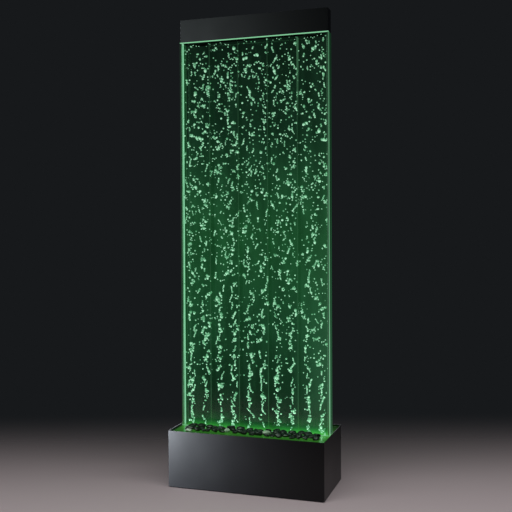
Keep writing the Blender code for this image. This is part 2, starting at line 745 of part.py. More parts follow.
def make_hinges():
    """Upper and lower ears inside the rear wall, each with a headed pin into the door."""
    hinge_end = DOOR_HINGE_SIDE + EAR_LEAF_LENGTH
    for name, up, door_edge in (("upper", 1, DOOR_TOP), ("lower", -1, DOOR_FOOT)):
        near = door_edge + up * EAR_PLAY
        far = near + up * SHEET
        tip = far + up * EAR_LEAF_HEIGHT
        ear = box(
            f"hinge_bracket_{name}",
            (DOOR_AXIS_X - EAR_REACH, REAR_WALL_INSIDE - EAR_DEPTH, min(near, far)),
            (hinge_end, REAR_WALL_INSIDE, max(near, far)),
        )
        link_part(ear, ZINC_STEEL)
        weld_on(ear, box(
            f"hinge_leaf_{name}",
            (DOOR_HINGE_SIDE - SHEET, REAR_WALL_INSIDE - SHEET, min(near, tip)),
            (hinge_end, REAR_WALL_INSIDE, max(near, tip)),
        ))
        cut(ear, rod(
            f"hinge_hole_{name}", PIN_RADIUS + PIN_HOLE_PLAY,
            (DOOR_AXIS_X, DOOR_AXIS_Y, min(near, far) - CUT_OVERRUN),
            (DOOR_AXIS_X, DOOR_AXIS_Y, max(near, far) + CUT_OVERRUN),
        ))
        head_seat = SHEET + FIT_GAP
        top = head_seat + PIN_HEAD_HEIGHT
        reach = EAR_PLAY + PIN_REACH
        profile = [
            (0, top), (PIN_HEAD_RADIUS, top), (PIN_HEAD_RADIUS, head_seat),
            (PIN_RADIUS, head_seat), (PIN_RADIUS, -reach), (0, -reach),
        ]
        pin = turned(
            f"hinge_pin_{name}", profile, (DOOR_AXIS_X, DOOR_AXIS_Y, near), (0, 0, up)
        )
        link_part(pin, ZINC_STEEL)


def make_magnet_catch():
    """A block on the wall over the door opening, which reaches down behind the door's return."""
    face = BASE_DEPTH / 2 - DOOR_RETURN - FIT_GAP
    back = face - CATCH_DEPTH
    head = DOOR_HEAD + FIT_GAP
    outline = [
        (back, DOOR_TOP - CATCH_DROP), (face, DOOR_TOP - CATCH_DROP), (face, head),
        (REAR_WALL_INSIDE, head), (REAR_WALL_INSIDE, head + CATCH_RISE), (back, head + CATCH_RISE),
    ]
    x = DOOR_FREE_SIDE + DOOR_GAP + CATCH_EDGE_INSET + CATCH_LENGTH / 2
    link_part(along_x(extruded("magnet_catch", [outline], CATCH_LENGTH), x), BLACK_PLASTIC)


def stand_outline():
    """A trestle seen from its end: saddle with notches on top, arch and flanges below."""
    saddle = TANK_DEPTH / 2 + FIT_GAP + STAND_LIP_THICKNESS
    lip_inside = TANK_DEPTH / 2 + FIT_GAP
    top = UNDER_TANK
    channel_foot = top - CHANNEL_HEIGHT - FIT_GAP
    channel_out = CHANNEL_OFFSET + CHANNEL_WIDTH / 2 + FIT_GAP
    channel_in = CHANNEL_OFFSET - CHANNEL_WIDTH / 2 - FIT_GAP
    arch = STAND_ARCH_WIDTH / 2
    fillet_middle = (saddle + STAND_FILLET, ON_FLOOR + STAND_FLANGE + STAND_FILLET)
    half = arc((0, RAIL_Z), RAIL_RADIUS + FIT_GAP, -math.pi / 2, 0, 4)
    half += [
        (RAIL_RADIUS + FIT_GAP, top), (channel_in, top), (channel_in, channel_foot),
        (channel_out, channel_foot), (channel_out, top), (lip_inside, top),
        (lip_inside, top + STAND_LIP_HEIGHT), (saddle, top + STAND_LIP_HEIGHT),
    ]
    half += arc(fillet_middle, STAND_FILLET, math.pi, 1.5 * math.pi, 4)
    half += [
        (saddle + STAND_FLANGE_REACH, ON_FLOOR + STAND_FLANGE),
        (saddle + STAND_FLANGE_REACH, ON_FLOOR), (arch, ON_FLOOR),
    ]
    arch_middle = (0, STAND_ARCH_TOP - arch)
    half += arc(arch_middle, arch, 0, math.pi / 2, 6)[:-1]
    crown = [(0, STAND_ARCH_TOP)]
    return half + crown + [(-across, up) for across, up in reversed(half[1:])]


def make_tank_stands():
    for name, x in (("left", -STAND_SPACING), ("middle", 0), ("right", STAND_SPACING)):
        stand = along_x(extruded(f"tank_stand_{name}", [stand_outline()], STAND_LENGTH), x)
        link_part(stand, BLACK_PLASTIC)


def make_tank_walls():
    half_x = TANK_WIDTH / 2
    half_y = TANK_DEPTH / 2
    between_y = TANK_INNER_Y - FIT_GAP
    front = box(
        "tank_front", (-half_x, -half_y, TANK_FOOT), (half_x, -half_y + TANK_SHEET, TANK_TOP)
    )
    link_part(front, CLEAR_ACRYLIC)
    back = box(
        "tank_back", (-half_x, half_y - TANK_SHEET, TANK_FOOT), (half_x, half_y, TANK_TOP)
    )
    link_part(back, SMOKED_ACRYLIC)
    left = box(
        "tank_left", (-half_x, -between_y, TANK_FOOT), (-half_x + TANK_SHEET, between_y, TANK_TOP)
    )
    link_part(left, EDGE_LIT_ACRYLIC)
    right = box(
        "tank_right", (half_x - TANK_SHEET, -between_y, TANK_FOOT), (half_x, between_y, TANK_TOP)
    )
    link_part(right, EDGE_LIT_ACRYLIC)


def make_tank_bottom():
    """The thick floor of the tank, drilled for the nozzles and for the drain."""
    across_x = TANK_INNER_X - FIT_GAP
    across_y = TANK_INNER_Y - FIT_GAP
    bottom = box(
        "tank_bottom", (-across_x, -across_y, TANK_FOOT), (across_x, across_y, TANK_FLOOR_TOP)
    )
    link_part(bottom, CLEAR_ACRYLIC)
    below = TANK_FOOT - CUT_OVERRUN
    above = TANK_FLOOR_TOP + CUT_OVERRUN
    first_x = FIRST_CHAMBER_X - NOZZLE_SPACING / 2
    holes = rod(
        "nozzle_holes", NOZZLE_RADIUS + FIT_GAP, (first_x, 0, below), (first_x, 0, above)
    )
    repeat(holes, 2, (NOZZLE_SPACING, 0, 0))
    repeat(holes, CHAMBER_COUNT, (CHAMBER_PITCH, 0, 0))
    cut(bottom, holes)
    cut(bottom, rod(
        "drain_hole", DRAIN_PIPE_RADIUS + FIT_GAP, (DRAIN_X, 0, below), (DRAIN_X, 0, above)
    ))


def make_dividers():
    """Upright sheets between the chambers, each with a notch at its foot that levels the water."""
    across = TANK_INNER_Y - FIT_GAP
    foot = TANK_FLOOR_TOP + FIT_GAP
    top = TANK_TOP - DIVIDER_TOP_DROP
    notch = LEVELLING_NOTCH_WIDTH / 2
    half = [(notch, foot), (across, foot), (across, top)]
    roof = foot + LEVELLING_NOTCH_HEIGHT
    outline = half + [(-a, u) for a, u in reversed(half)] + [(-notch, roof), (notch, roof)]
    for i in range(CHAMBER_COUNT - 1):
        x = FIRST_CHAMBER_X + CHAMBER_PITCH * (i + 1 / 2)
        divider = along_x(extruded(f"divider_{i + 1}", [outline], DIVIDER_THICKNESS), x)
        link_part(divider, CLEAR_ACRYLIC)


def make_air_rail():
    """A pipe that lies along the tank's underside, with its nozzles up through the tank floor."""
    first_x = FIRST_CHAMBER_X - NOZZLE_SPACING / 2
    end_x = -first_x + RAIL_OVERHANG
    rail = rod("air_rail", RAIL_RADIUS, (-end_x, 0, RAIL_Z), (end_x, 0, RAIL_Z))
    link_part(rail, BLACK_PLASTIC)
    nozzle = rod(
        "rail_nozzles", NOZZLE_RADIUS,
        (first_x, 0, RAIL_Z), (first_x, 0, TANK_FLOOR_TOP + NOZZLE_RISE), 12,
    )
    repeat(nozzle, 2, (NOZZLE_SPACING, 0, 0))
    repeat(nozzle, CHAMBER_COUNT, (CHAMBER_PITCH, 0, 0))
    weld_on(rail, nozzle)
    weld_on(rail, rod(
        "rail_inlet", RAIL_INLET_RADIUS,
        (RAIL_INLET_X, 0, RAIL_Z), (RAIL_INLET_X, 0, RAIL_INLET_FOOT),
    ))


def make_lights():
    """Two open channels under the tank floor, with a lit strip lying in each."""
    end = TANK_WIDTH / 2 - CHANNEL_END_MARGIN
    foot = UNDER_TANK - CHANNEL_HEIGHT
    half = CHANNEL_WIDTH / 2
    inside = half - CHANNEL_WALL
    for name, y in (("front", -CHANNEL_OFFSET), ("rear", CHANNEL_OFFSET)):
        outline = [
            (y - half, foot), (y + half, foot), (y + half, UNDER_TANK), (y + inside, UNDER_TANK),
            (y + inside, foot + CHANNEL_WALL), (y - inside, foot + CHANNEL_WALL),
            (y - inside, UNDER_TANK), (y - half, UNDER_TANK),
        ]
        link_part(along_x(extruded(f"led_channel_{name}", [outline], 2 * end), 0), ALUMINIUM)
        seat = foot + CHANNEL_WALL + FIT_GAP
        strip = box(
            f"led_strip_{name}",
            (-end, y - inside + FIT_GAP, seat), (end, y + inside - FIT_GAP, seat + STRIP_HEIGHT),
        )
        link_part(strip, DIFFUSER)


def make_air_pump():
    half_x = PUMP_LENGTH / 2
    half_y = PUMP_DEPTH / 2
    sole_foot = ON_FLOOR + PUMP_STUD_HEIGHT
    body_foot = sole_foot + PUMP_SOLE_HEIGHT + FIT_GAP
    body_top = body_foot + PUMP_HEIGHT
    sole = box(
        "air_pump_sole",
        (PUMP_X - half_x, PUMP_Y - half_y, sole_foot),
        (PUMP_X + half_x, PUMP_Y + half_y, sole_foot + PUMP_SOLE_HEIGHT),
    )
    link_part(sole, BLACK_RUBBER)
    round_edges(sole, PUMP_CORNER, 3, (0, 0, 1))
    stud_x = half_x - PUMP_STUD_INSET
    stud_y = half_y - PUMP_STUD_INSET
    stud = rod(
        "pump_studs", PUMP_STUD_RADIUS,
        (PUMP_X - stud_x, PUMP_Y - stud_y, ON_FLOOR),
        (PUMP_X - stud_x, PUMP_Y - stud_y, sole_foot + PUMP_SOLE_HEIGHT / 2), 12,
    )
    repeat(stud, 2, (2 * stud_x, 0, 0))
    repeat(stud, 2, (0, 2 * stud_y, 0))
    weld_on(sole, stud)
    body = box(
        "air_pump_body",
        (PUMP_X - half_x, PUMP_Y - half_y, body_foot), (PUMP_X + half_x, PUMP_Y + half_y, body_top),
    )
    link_part(body, BLACK_PLASTIC)
    round_edges(body, PUMP_CORNER, 4, (0, 0, 1))
    outlet_x = PUMP_X - PUMP_OUTLET_SHIFT
    outlet_z = body_foot + PUMP_OUTLET_RISE
    front = PUMP_Y - half_y
    weld_on(body, rod(
        "pump_outlet", PUMP_OUTLET_RADIUS,
        (outlet_x, PUMP_Y, outlet_z), (outlet_x, front - PUMP_OUTLET_LENGTH, outlet_z), 12,
    ))
    lid_x = half_x - PUMP_LID_INSET
    lid_y = half_y - PUMP_LID_INSET
    lid_foot = body_top + FIT_GAP
    lid = box(
        "air_pump_lid",
        (PUMP_X - lid_x, PUMP_Y - lid_y, lid_foot),
        (PUMP_X + lid_x, PUMP_Y + lid_y, lid_foot + PUMP_LID_HEIGHT),
    )
    link_part(lid, GREY_PLASTIC)
    round_edges(lid, PUMP_LID_CHAMFER, 2)
    return outlet_x, front - PUMP_OUTLET_LENGTH - FIT_GAP, outlet_z


def make_air_line(x, y, z):
    """Hose from the pump's outlet, check valve in line, and hose up to the rail's inlet."""
    first_end = y - FIRST_HOSE_LENGTH
    first = tube("air_hose_lower", [(x, y, z), (x, first_end, z)], HOSE_RADIUS, HOSE_ARC_STEPS)
    link_part(first, SILICONE)
    valve_length = 2 * CHECK_TAIL_LENGTH + CHECK_BODY_LENGTH
    valve_start = first_end - FIT_GAP
    body_top = CHECK_TAIL_LENGTH + CHECK_BODY_LENGTH
    chamfer = CHECK_BODY_RADIUS - CHECK_TAIL_RADIUS
    profile = [
        (0, valve_length), (CHECK_TAIL_RADIUS, valve_length), (CHECK_TAIL_RADIUS, body_top),
        (CHECK_BODY_RADIUS, body_top - chamfer / 2),
        (CHECK_BODY_RADIUS, CHECK_TAIL_LENGTH + chamfer / 2),
        (CHECK_TAIL_RADIUS, CHECK_TAIL_LENGTH), (CHECK_TAIL_RADIUS, 0), (0, 0),
    ]
    valve = smooth(turned("check_valve", profile, (x, valve_start, z), (0, -1, 0)))
    link_part(valve, GREY_PLASTIC)
    start = Vector((x, valve_start - valve_length - FIT_GAP, z))
    end = Vector((RAIL_INLET_X, 0, RAIL_INLET_FOOT - FIT_GAP))
    across = end.x - start.x
    rise = end.z - start.z
    knots = [
        start,
        start - Vector((0, HOSE_STRAIGHT, 0)),
        start + Vector((across / 8, -HOSE_REACH, rise / 6)),
        start + Vector((across / 2, -HOSE_REACH, rise / 2)),
        end - Vector((across / 10, HOSE_STRAIGHT, HOSE_UPRIGHT)),
        end - Vector((0, 0, HOSE_STRAIGHT)),
        end,
    ]
    second = tube("air_hose_upper", smooth_route(knots, 4), HOSE_RADIUS, HOSE_ARC_STEPS)
    link_part(second, SILICONE)


def make_drain():
    """Pipe from the tank's floor, brass ball valve behind the door, and its lever."""
    inlet_y = DRAIN_VALVE_Y - VALVE_BALL_HALF - VALVE_INLET_LENGTH
    start = Vector((DRAIN_X, 0, TANK_FOOT + DRAIN_PIPE_ENTRY))
    end = Vector((DRAIN_VALVE_X, inlet_y - FIT_GAP, DRAIN_VALVE_Z))
    knots = [start, *on_the_way(start, end, DRAIN_ROUTE_SHARES), end]
    pipe = tube("drain_pipe", smooth_route(knots, 4), DRAIN_PIPE_RADIUS, HOSE_ARC_STEPS)
    link_part(pipe, GREY_PLASTIC)
    ball_end = VALVE_INLET_LENGTH + 2 * VALVE_BALL_HALF
    length = ball_end + VALVE_OUTLET_LENGTH
    profile = [
        (0, length), (VALVE_OUTLET_RADIUS - VALVE_CHAMFER, length),
        (VALVE_OUTLET_RADIUS, length - VALVE_CHAMFER), (VALVE_OUTLET_RADIUS, ball_end),
        (VALVE_BALL_RADIUS - VALVE_CHAMFER, ball_end),
        (VALVE_BALL_RADIUS, ball_end - VALVE_CHAMFER),
        (VALVE_BALL_RADIUS, VALVE_INLET_LENGTH + VALVE_CHAMFER),
        (VALVE_BALL_RADIUS - VALVE_CHAMFER, VALVE_INLET_LENGTH),
        (VALVE_INLET_RADIUS, VALVE_INLET_LENGTH), (VALVE_INLET_RADIUS, 0), (0, 0),
    ]
    valve = turned("drain_valve", profile, (DRAIN_VALVE_X, inlet_y, DRAIN_VALVE_Z), (0, 1, 0))
    link_part(valve, BRASS)
    boss_top = DRAIN_VALVE_Z + VALVE_BALL_RADIUS + VALVE_BOSS_RISE
    axis = (DRAIN_VALVE_X, DRAIN_VALVE_Y)
    weld_on(valve, rod(
        "valve_boss", VALVE_BOSS_RADIUS, (*axis, DRAIN_VALVE_Z), (*axis, boss_top)
    ))
    mouth = inlet_y + length
    cut(valve, rod(
        "valve_bore", VALVE_BORE_RADIUS,
        (DRAIN_VALVE_X, mouth - VALVE_BORE_DEPTH, DRAIN_VALVE_Z),
        (DRAIN_VALVE_X, mouth + CUT_OVERRUN, DRAIN_VALVE_Z),
    ))
    cut(valve, rod(
        "valve_stem_hole", STEM_RADIUS + FIT_GAP,
        (*axis, boss_top - STEM_DEPTH - FIT_GAP), (*axis, boss_top + CUT_OVERRUN),
    ))
    lever_foot = boss_top + FIT_GAP
    grip = LEVER_WIDTH / 2
    tip = -LEVER_LENGTH + grip
    join = math.asin(grip / LEVER_HUB_RADIUS)
    outline = arc((0, 0), LEVER_HUB_RADIUS, math.pi + join, 3 * math.pi - join, 14)
    outline += arc((tip, 0), grip, math.pi / 2, 1.5 * math.pi, 6)
    lever = extruded("drain_lever", [outline], LEVER_THICKNESS)
    lever.location = (*axis, lever_foot + LEVER_THICKNESS / 2)
    lever = as_mesh(lever)
    lever.name = "drain_lever"
    link_part(lever, BLACK_PLASTIC)
    weld_on(lever, rod(
        "lever_stem", STEM_RADIUS,
        (*axis, boss_top - STEM_DEPTH), (*axis, lever_foot + LEVER_THICKNESS / 2),
    ))
    bpy.context.view_layer.update()
    carry(axis_at("drain_lever_axis", (*axis, boss_top)), lever)


def make_driver():
    """The light's supply, with a fixing ear at each end, and its lead to the rear strip."""
    half_x = DRIVER_LENGTH / 2
    half_y = DRIVER_DEPTH / 2
    driver = box(
        "led_driver",
        (DRIVER_X - half_x, DRIVER_Y - half_y, ON_FLOOR),
        (DRIVER_X + half_x, DRIVER_Y + half_y, ON_FLOOR + DRIVER_HEIGHT),
    )
    link_part(driver, ALUMINIUM)
    round_edges(driver, DRIVER_CORNER, 2)
    ear_x = half_x + DRIVER_EAR_LENGTH
    weld_on(driver, box(
        "driver_ears",
        (DRIVER_X - ear_x, DRIVER_Y - half_y / 2, ON_FLOOR),
        (DRIVER_X + ear_x, DRIVER_Y + half_y / 2, ON_FLOOR + DRIVER_EAR_THICKNESS),
    ))
    hole_x = half_x + DRIVER_EAR_LENGTH / 2
    holes = rod(
        "driver_ear_holes", DRIVER_EAR_HOLE_RADIUS,
        (DRIVER_X - hole_x, DRIVER_Y, ON_FLOOR - CUT_OVERRUN),
        (DRIVER_X - hole_x, DRIVER_Y, ON_FLOOR + DRIVER_EAR_THICKNESS + CUT_OVERRUN), 12,
    )
    cut(driver, repeat(holes, 2, (2 * hole_x, 0, 0)))
    strip_end = -TANK_WIDTH / 2 + CHANNEL_END_MARGIN
    strip_z = UNDER_TANK - CHANNEL_HEIGHT + CHANNEL_WALL + FIT_GAP + STRIP_HEIGHT / 2
    start = Vector((DRIVER_X - half_x - FIT_GAP, DRIVER_Y, ON_FLOOR + DRIVER_HEIGHT / 2))
    end = Vector((strip_end - FIT_GAP, CHANNEL_OFFSET, strip_z))
    knots = [start, start - Vector((LEAD_STRAIGHT, 0, 0))]
    knots += on_the_way(start, end, LEAD_ROUTE_SHARES)
    knots += [end - Vector(swing) for swing in LEAD_END_KNOTS] + [end]
    lead = tube("led_lead", smooth_route(knots, 5), LEAD_RADIUS, LEAD_ARC_STEPS)
    link_part(lead, BLACK_RUBBER)


def make_connection_panel():
    """A pan let into the rear wall, with cut-outs for two switches and the inlet."""
    half_x = PANEL_WIDTH / 2
    half_z = PANEL_HEIGHT / 2
    panel = box(
        "connection_panel",
        (PANEL_X - half_x - PANEL_FLANGE, REAR_WALL_INSIDE - SHEET, PANEL_Z - half_z - PANEL_FLANGE),
        (PANEL_X + half_x + PANEL_FLANGE, REAR_WALL_INSIDE, PANEL_Z + half_z + PANEL_FLANGE),
    )
    link_part(panel, POWDER_COAT)
    weld_on(panel, box(
        "panel_pan",
        (PANEL_X - half_x, PANEL_FACE - SHEET, PANEL_Z - half_z),
        (PANEL_X + half_x, REAR_WALL_INSIDE - SHEET / 2, PANEL_Z + half_z),
    ))
    cut(panel, box(
        "panel_recess",
        (PANEL_X - half_x + SHEET, PANEL_FACE, PANEL_Z - half_z + SHEET),
        (PANEL_X + half_x - SHEET, REAR_WALL_INSIDE + CUT_OVERRUN, PANEL_Z + half_z - SHEET),
    ))
    hole_x = HOUSING_WIDTH / 2 + FIT_GAP
    hole_z = HOUSING_HEIGHT / 2 + FIT_GAP
    first_x = PANEL_X - SWITCH_SPACING / 2
    holes = box(
        "panel_switch_holes",
        (first_x - hole_x, PANEL_FACE - SHEET - CUT_OVERRUN, SWITCH_Z - hole_z),
        (first_x + hole_x, PANEL_FACE + CUT_OVERRUN, SWITCH_Z + hole_z),
    )
    cut(panel, repeat(holes, 2, (SWITCH_SPACING, 0, 0)))
    inlet_x = INLET_BODY_WIDTH / 2 + FIT_GAP
    inlet_z = INLET_BODY_HEIGHT / 2 + FIT_GAP
    cut(panel, box(
        "panel_inlet_hole",
        (PANEL_X - inlet_x, PANEL_FACE - SHEET - CUT_OVERRUN, INLET_Z - inlet_z),
        (PANEL_X + inlet_x, PANEL_FACE + CUT_OVERRUN, INLET_Z + inlet_z),
    ))


def rocker_outline():
    """Two sloping faces with a valley between them, on a belly round the pivot, in (Y, Z)."""
    lip = ROCKER_LIP_ANGLE
    belly = ROCKER_BELLY_ANGLE
    upper = arc((0, 0), ROCKER_RADIUS, math.pi / 2 - lip, math.pi / 2 + belly, ROCKER_ARC_STEPS)
    valley = [(ROCKER_VALLEY, 0)]
    lower = [(across, -up) for across, up in reversed(upper)]
    return valley + upper + lower


def make_switches():
    for name, side in (("air", -1), ("light", 1)):
        x = PANEL_X + side * SWITCH_SPACING / 2
        bezel_x = BEZEL_WIDTH / 2
        bezel_z = BEZEL_HEIGHT / 2
        body_x = HOUSING_WIDTH / 2
        body_z = HOUSING_HEIGHT / 2
        housing = box(
            f"switch_housing_{name}",
            (x - bezel_x, PANEL_FACE + FIT_GAP, SWITCH_Z - bezel_z),
            (x + bezel_x, SWITCH_FACE, SWITCH_Z + bezel_z),
        )
        link_part(housing, BLACK_PLASTIC)
        weld_on(housing, box(
            f"switch_body_{name}",
            (x - body_x, PANEL_FACE - HOUSING_LENGTH, SWITCH_Z - body_z),
            (x + body_x, SWITCH_FACE - BEZEL_THICKNESS / 2, SWITCH_Z + body_z),
        ))
        room_x = body_x - HOUSING_WALL
        room_z = body_z - HOUSING_WALL
        belly_depth = ROCKER_RADIUS * math.sin(ROCKER_BELLY_ANGLE + ROCKER_TILT)
        cut(housing, box(
            f"switch_room_{name}",
            (x - room_x, ROCKER_PIVOT_Y - belly_depth - ROCKER_PLAY, SWITCH_Z - room_z),
            (x + room_x, SWITCH_FACE + CUT_OVERRUN, SWITCH_Z + room_z),
        ))
        pivot = (ROCKER_PIVOT_Y, SWITCH_Z)
        cut(housing, rod(
            f"switch_pivot_holes_{name}", ROCKER_STUB_RADIUS + FIT_GAP,
            (x - body_x - CUT_OVERRUN, *pivot), (x + body_x + CUT_OVERRUN, *pivot), 12,
        ))
        rocker = along_x(
            extruded(f"switch_rocker_{name}", [rocker_outline()], 2 * ROCKER_HALF_WIDTH), x
        )
        rocker.location = (x, *pivot)
        rocker = as_mesh(rocker)
        rocker.name = f"switch_rocker_{name}"
        link_part(rocker, GREY_PLASTIC)
        reach = ROCKER_HALF_WIDTH + ROCKER_STUB_REACH
        stubs = rod(
            f"switch_stubs_{name}", ROCKER_STUB_RADIUS, (x - reach, *pivot), (x + reach, *pivot), 12
        )
        weld_on(rocker, stubs)
        bpy.context.view_layer.update()
        axis = axis_at(f"switch_axis_{name}", (x, *pivot))
        carry(axis, rocker, stubs)
        axis.rotation_euler.x = ROCKER_TILT


def make_mains_inlet():
    """A socket with three blades, let in from outside the panel."""
    face = PANEL_FACE + FIT_GAP + INLET_FLANGE_THICKNESS
    flange_x = INLET_FLANGE_WIDTH / 2
    flange_z = INLET_FLANGE_HEIGHT / 2
    body_x = INLET_BODY_WIDTH / 2
    body_z = INLET_BODY_HEIGHT / 2
    inlet = box(
        "mains_inlet",
        (PANEL_X - flange_x, PANEL_FACE + FIT_GAP, INLET_Z - flange_z),
        (PANEL_X + flange_x, face, INLET_Z + flange_z),
    )
    link_part(inlet, BLACK_PLASTIC)
    weld_on(inlet, box(
        "inlet_body",
        (PANEL_X - body_x, face - INLET_BODY_LENGTH, INLET_Z - body_z),
        (PANEL_X + body_x, face - INLET_FLANGE_THICKNESS / 2, INLET_Z + body_z),
    ))
    room_x = body_x - INLET_WALL
    room_z = body_z - INLET_WALL
    floor = face - INLET_CAVITY_DEPTH
    cut(inlet, box(
        "inlet_room",
        (PANEL_X - room_x, floor, INLET_Z - room_z),
        (PANEL_X + room_x, face + CUT_OVERRUN, INLET_Z + room_z),
    ))
    for i, drop in ((-1, 1), (0, -1), (1, 1)):
        x = PANEL_X + i * PIN_BLADE_SPACING
        z = INLET_Z - drop * PIN_BLADE_OFFSET
        root = (face - INLET_BODY_LENGTH + floor) / 2
        weld_on(inlet, box(
            f"inlet_blade_{i + 2}",
            (x - PIN_BLADE_WIDTH / 2, root, z - PIN_BLADE_HEIGHT / 2),
            (x + PIN_BLADE_WIDTH / 2, floor + PIN_BLADE_LENGTH, z + PIN_BLADE_HEIGHT / 2),
        ))


def make_cap():
    """A folded box open below, with vents at its rear, and the two saddles inside it."""
    half_x = TANK_WIDTH / 2 - CAP_INSET
    half_y = TANK_DEPTH / 2 - CAP_INSET
    foot = TANK_TOP + FIT_GAP
    cap = box("cap_shell", (-half_x, -half_y, foot), (half_x, half_y, TOTAL_HEIGHT))
    link_part(cap, POWDER_COAT)
    cut(cap, box(
        "cap_inside",
        (-half_x + SHEET, -half_y + SHEET, foot - CUT_OVERRUN),
        (half_x - SHEET, half_y - SHEET, TOTAL_HEIGHT - SHEET),
    ))
    first_x = -CAP_VENT_PITCH * (CAP_VENT_COUNT - 1) / 2
    vent_top = TOTAL_HEIGHT - CAP_VENT_DROP
    vent = box(
        "cap_vents",
        (first_x - CAP_VENT_LENGTH / 2, half_y - SHEET - CUT_OVERRUN, vent_top - CAP_VENT_HEIGHT),
        (first_x + CAP_VENT_LENGTH / 2, half_y + CUT_OVERRUN, vent_top),
    )
    cut(cap, repeat(vent, CAP_VENT_COUNT, (CAP_VENT_PITCH, 0, 0)))
    in_cap = half_y - SHEET - FIT_GAP
    in_tank = TANK_INNER_Y - SADDLE_PLAY
    inside = in_tank - SADDLE_WALL
    shoulder = foot + FIT_GAP
    top = TANK_TOP + SADDLE_RISE
    tip = TANK_TOP - SADDLE_DROP
    outer = [(in_cap, top), (in_cap, shoulder), (in_tank, shoulder), (in_tank, tip), (inside, tip)]
    half = outer + [(inside, top - SADDLE_WALL)]
    outline = mirrored(half)
    axis = axis_at("cap_axis", (0, 0, TANK_TOP))
    carry(axis, cap)
    for name, x in (("left", FIRST_CHAMBER_X), ("right", -FIRST_CHAMBER_X)):
        saddle = along_x(extruded(f"cap_saddle_{name}", [outline], SADDLE_LENGTH), x)
        link_part(saddle, BLACK_PLASTIC)
        carry(axis, saddle)


def make_pebbles():
    """River pebbles: rounded, a little squared, and flat where they lie on the deck."""
    strip_front = -INNER_Y
    strip_back = -TANK_DEPTH / 2
    for number, row in enumerate(PEBBLE_SHARES, 1):
        x_share, y_share, length_share, width_share, height_share, turn = row
        name = f"pebble_{number}"
        half = Vector((
            PEBBLE_LENGTH * length_share / 2,
            PEBBLE_WIDTH * width_share / 2,
            PEBBLE_HEIGHT * height_share / 2,
        ))
        form = bmesh.new()
        bmesh.ops.create_uvsphere(
            form, u_segments=PEBBLE_SEGMENTS, v_segments=PEBBLE_RINGS, radius=1
        )
        flat = -PEBBLE_FLAT_SHARE
        for vertex in form.verts:
            lean = 1 + PEBBLE_LEAN_SHARE * math.sin(2 * math.atan2(vertex.co.y, vertex.co.x) + number)
            shaped = [
                math.copysign(abs(value) ** PEBBLE_SQUARE_SHARE, value) for value in vertex.co
            ]
            vertex.co = (
                shaped[0] * half.x * lean, shaped[1] * half.y / lean, max(shaped[2], flat) * half.z
            )
        mesh = bpy.data.meshes.new(name)
        form.to_mesh(mesh)
        form.free()
        pebble = smooth(bpy.data.objects.new(name, mesh))
        pebble.location = (
            x_share * TANK_WIDTH,
            strip_front + y_share * (strip_back - strip_front),
            DECK_TOP + FIT_GAP - flat * half.z,
        )
        pebble.rotation_euler.z = math.radians(turn)
        link_part(pebble, PALE_PEBBLE if number in PALE_PEBBLES else DARK_PEBBLE)


make_cabinet_shell()
make_bottom_plate()
make_deck()
make_feet()
make_service_door()
make_hinges()
make_magnet_catch()
make_tank_stands()
make_tank_walls()
make_tank_bottom()
make_dividers()
make_air_rail()
make_lights()
make_air_line(*make_air_pump())
make_drain()
make_driver()
make_connection_panel()
make_switches()
make_mains_inlet()
make_cap()
make_pebbles()
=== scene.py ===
"""The looks of a floor-standing bubble wall panel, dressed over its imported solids.

Metres, +Z up, front towards -Y. The sections follow the order in which the panel is put together,
from the cabinet to the cap. The studio comes last.
"""

import json
import math
from functools import partial

import bmesh
import bpy
import numpy as np
from mathutils import Matrix, Quaternion, Vector, noise

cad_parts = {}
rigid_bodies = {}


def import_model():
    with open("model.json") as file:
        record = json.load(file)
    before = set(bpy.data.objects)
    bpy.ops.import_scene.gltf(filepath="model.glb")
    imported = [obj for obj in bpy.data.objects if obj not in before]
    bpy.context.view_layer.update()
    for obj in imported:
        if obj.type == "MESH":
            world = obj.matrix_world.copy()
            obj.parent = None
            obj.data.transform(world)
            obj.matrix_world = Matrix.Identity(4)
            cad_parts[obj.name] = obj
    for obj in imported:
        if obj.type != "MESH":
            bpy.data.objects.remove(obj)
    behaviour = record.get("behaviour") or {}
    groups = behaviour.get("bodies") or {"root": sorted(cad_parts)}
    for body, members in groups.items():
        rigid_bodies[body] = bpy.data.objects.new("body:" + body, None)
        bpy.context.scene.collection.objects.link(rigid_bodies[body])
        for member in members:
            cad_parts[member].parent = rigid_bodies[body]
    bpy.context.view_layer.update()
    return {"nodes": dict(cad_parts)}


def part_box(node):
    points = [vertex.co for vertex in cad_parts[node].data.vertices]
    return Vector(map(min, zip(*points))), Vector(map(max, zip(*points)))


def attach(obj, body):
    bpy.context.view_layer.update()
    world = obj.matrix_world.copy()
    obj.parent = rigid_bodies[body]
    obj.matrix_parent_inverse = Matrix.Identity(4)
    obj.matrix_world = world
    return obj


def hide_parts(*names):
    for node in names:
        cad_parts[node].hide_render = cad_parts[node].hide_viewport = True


for startup in list(bpy.data.objects):
    bpy.data.objects.remove(startup)
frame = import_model()

# Cabinet wrap
# Sheet steel 1.5 mm thick, folded, with a satin black powder coat. Baked powder flows into a very
# faint orange peel, stays even in colour, and leaves every cut edge a little round.

PANEL = "standing_panel"
COAT_PEEL = 0.0022
COAT_PEEL_DEPTH = 0.00002
COAT_PATCH = 0.085
COAT_ROUGHNESS = 0.36
COAT_DRIFT = 0.015
SHEET_EDGE = 0.0004
WELD_REACH = 0.00001
ROUND_ABOVE = math.radians(50)
# Nearly all of a noise lies between these two values.
NOISE = (0.3, 0.7)


def linear(code):
    """An sRGB hex colour as linear red, green, blue and 1."""
    shares = [int(code[i:i + 2], 16) / 255 for i in (1, 3, 5)]
    return (*[s / 12.92 if s <= 0.04045 else ((s + 0.055) / 1.055) ** 2.4 for s in shares], 1.0)


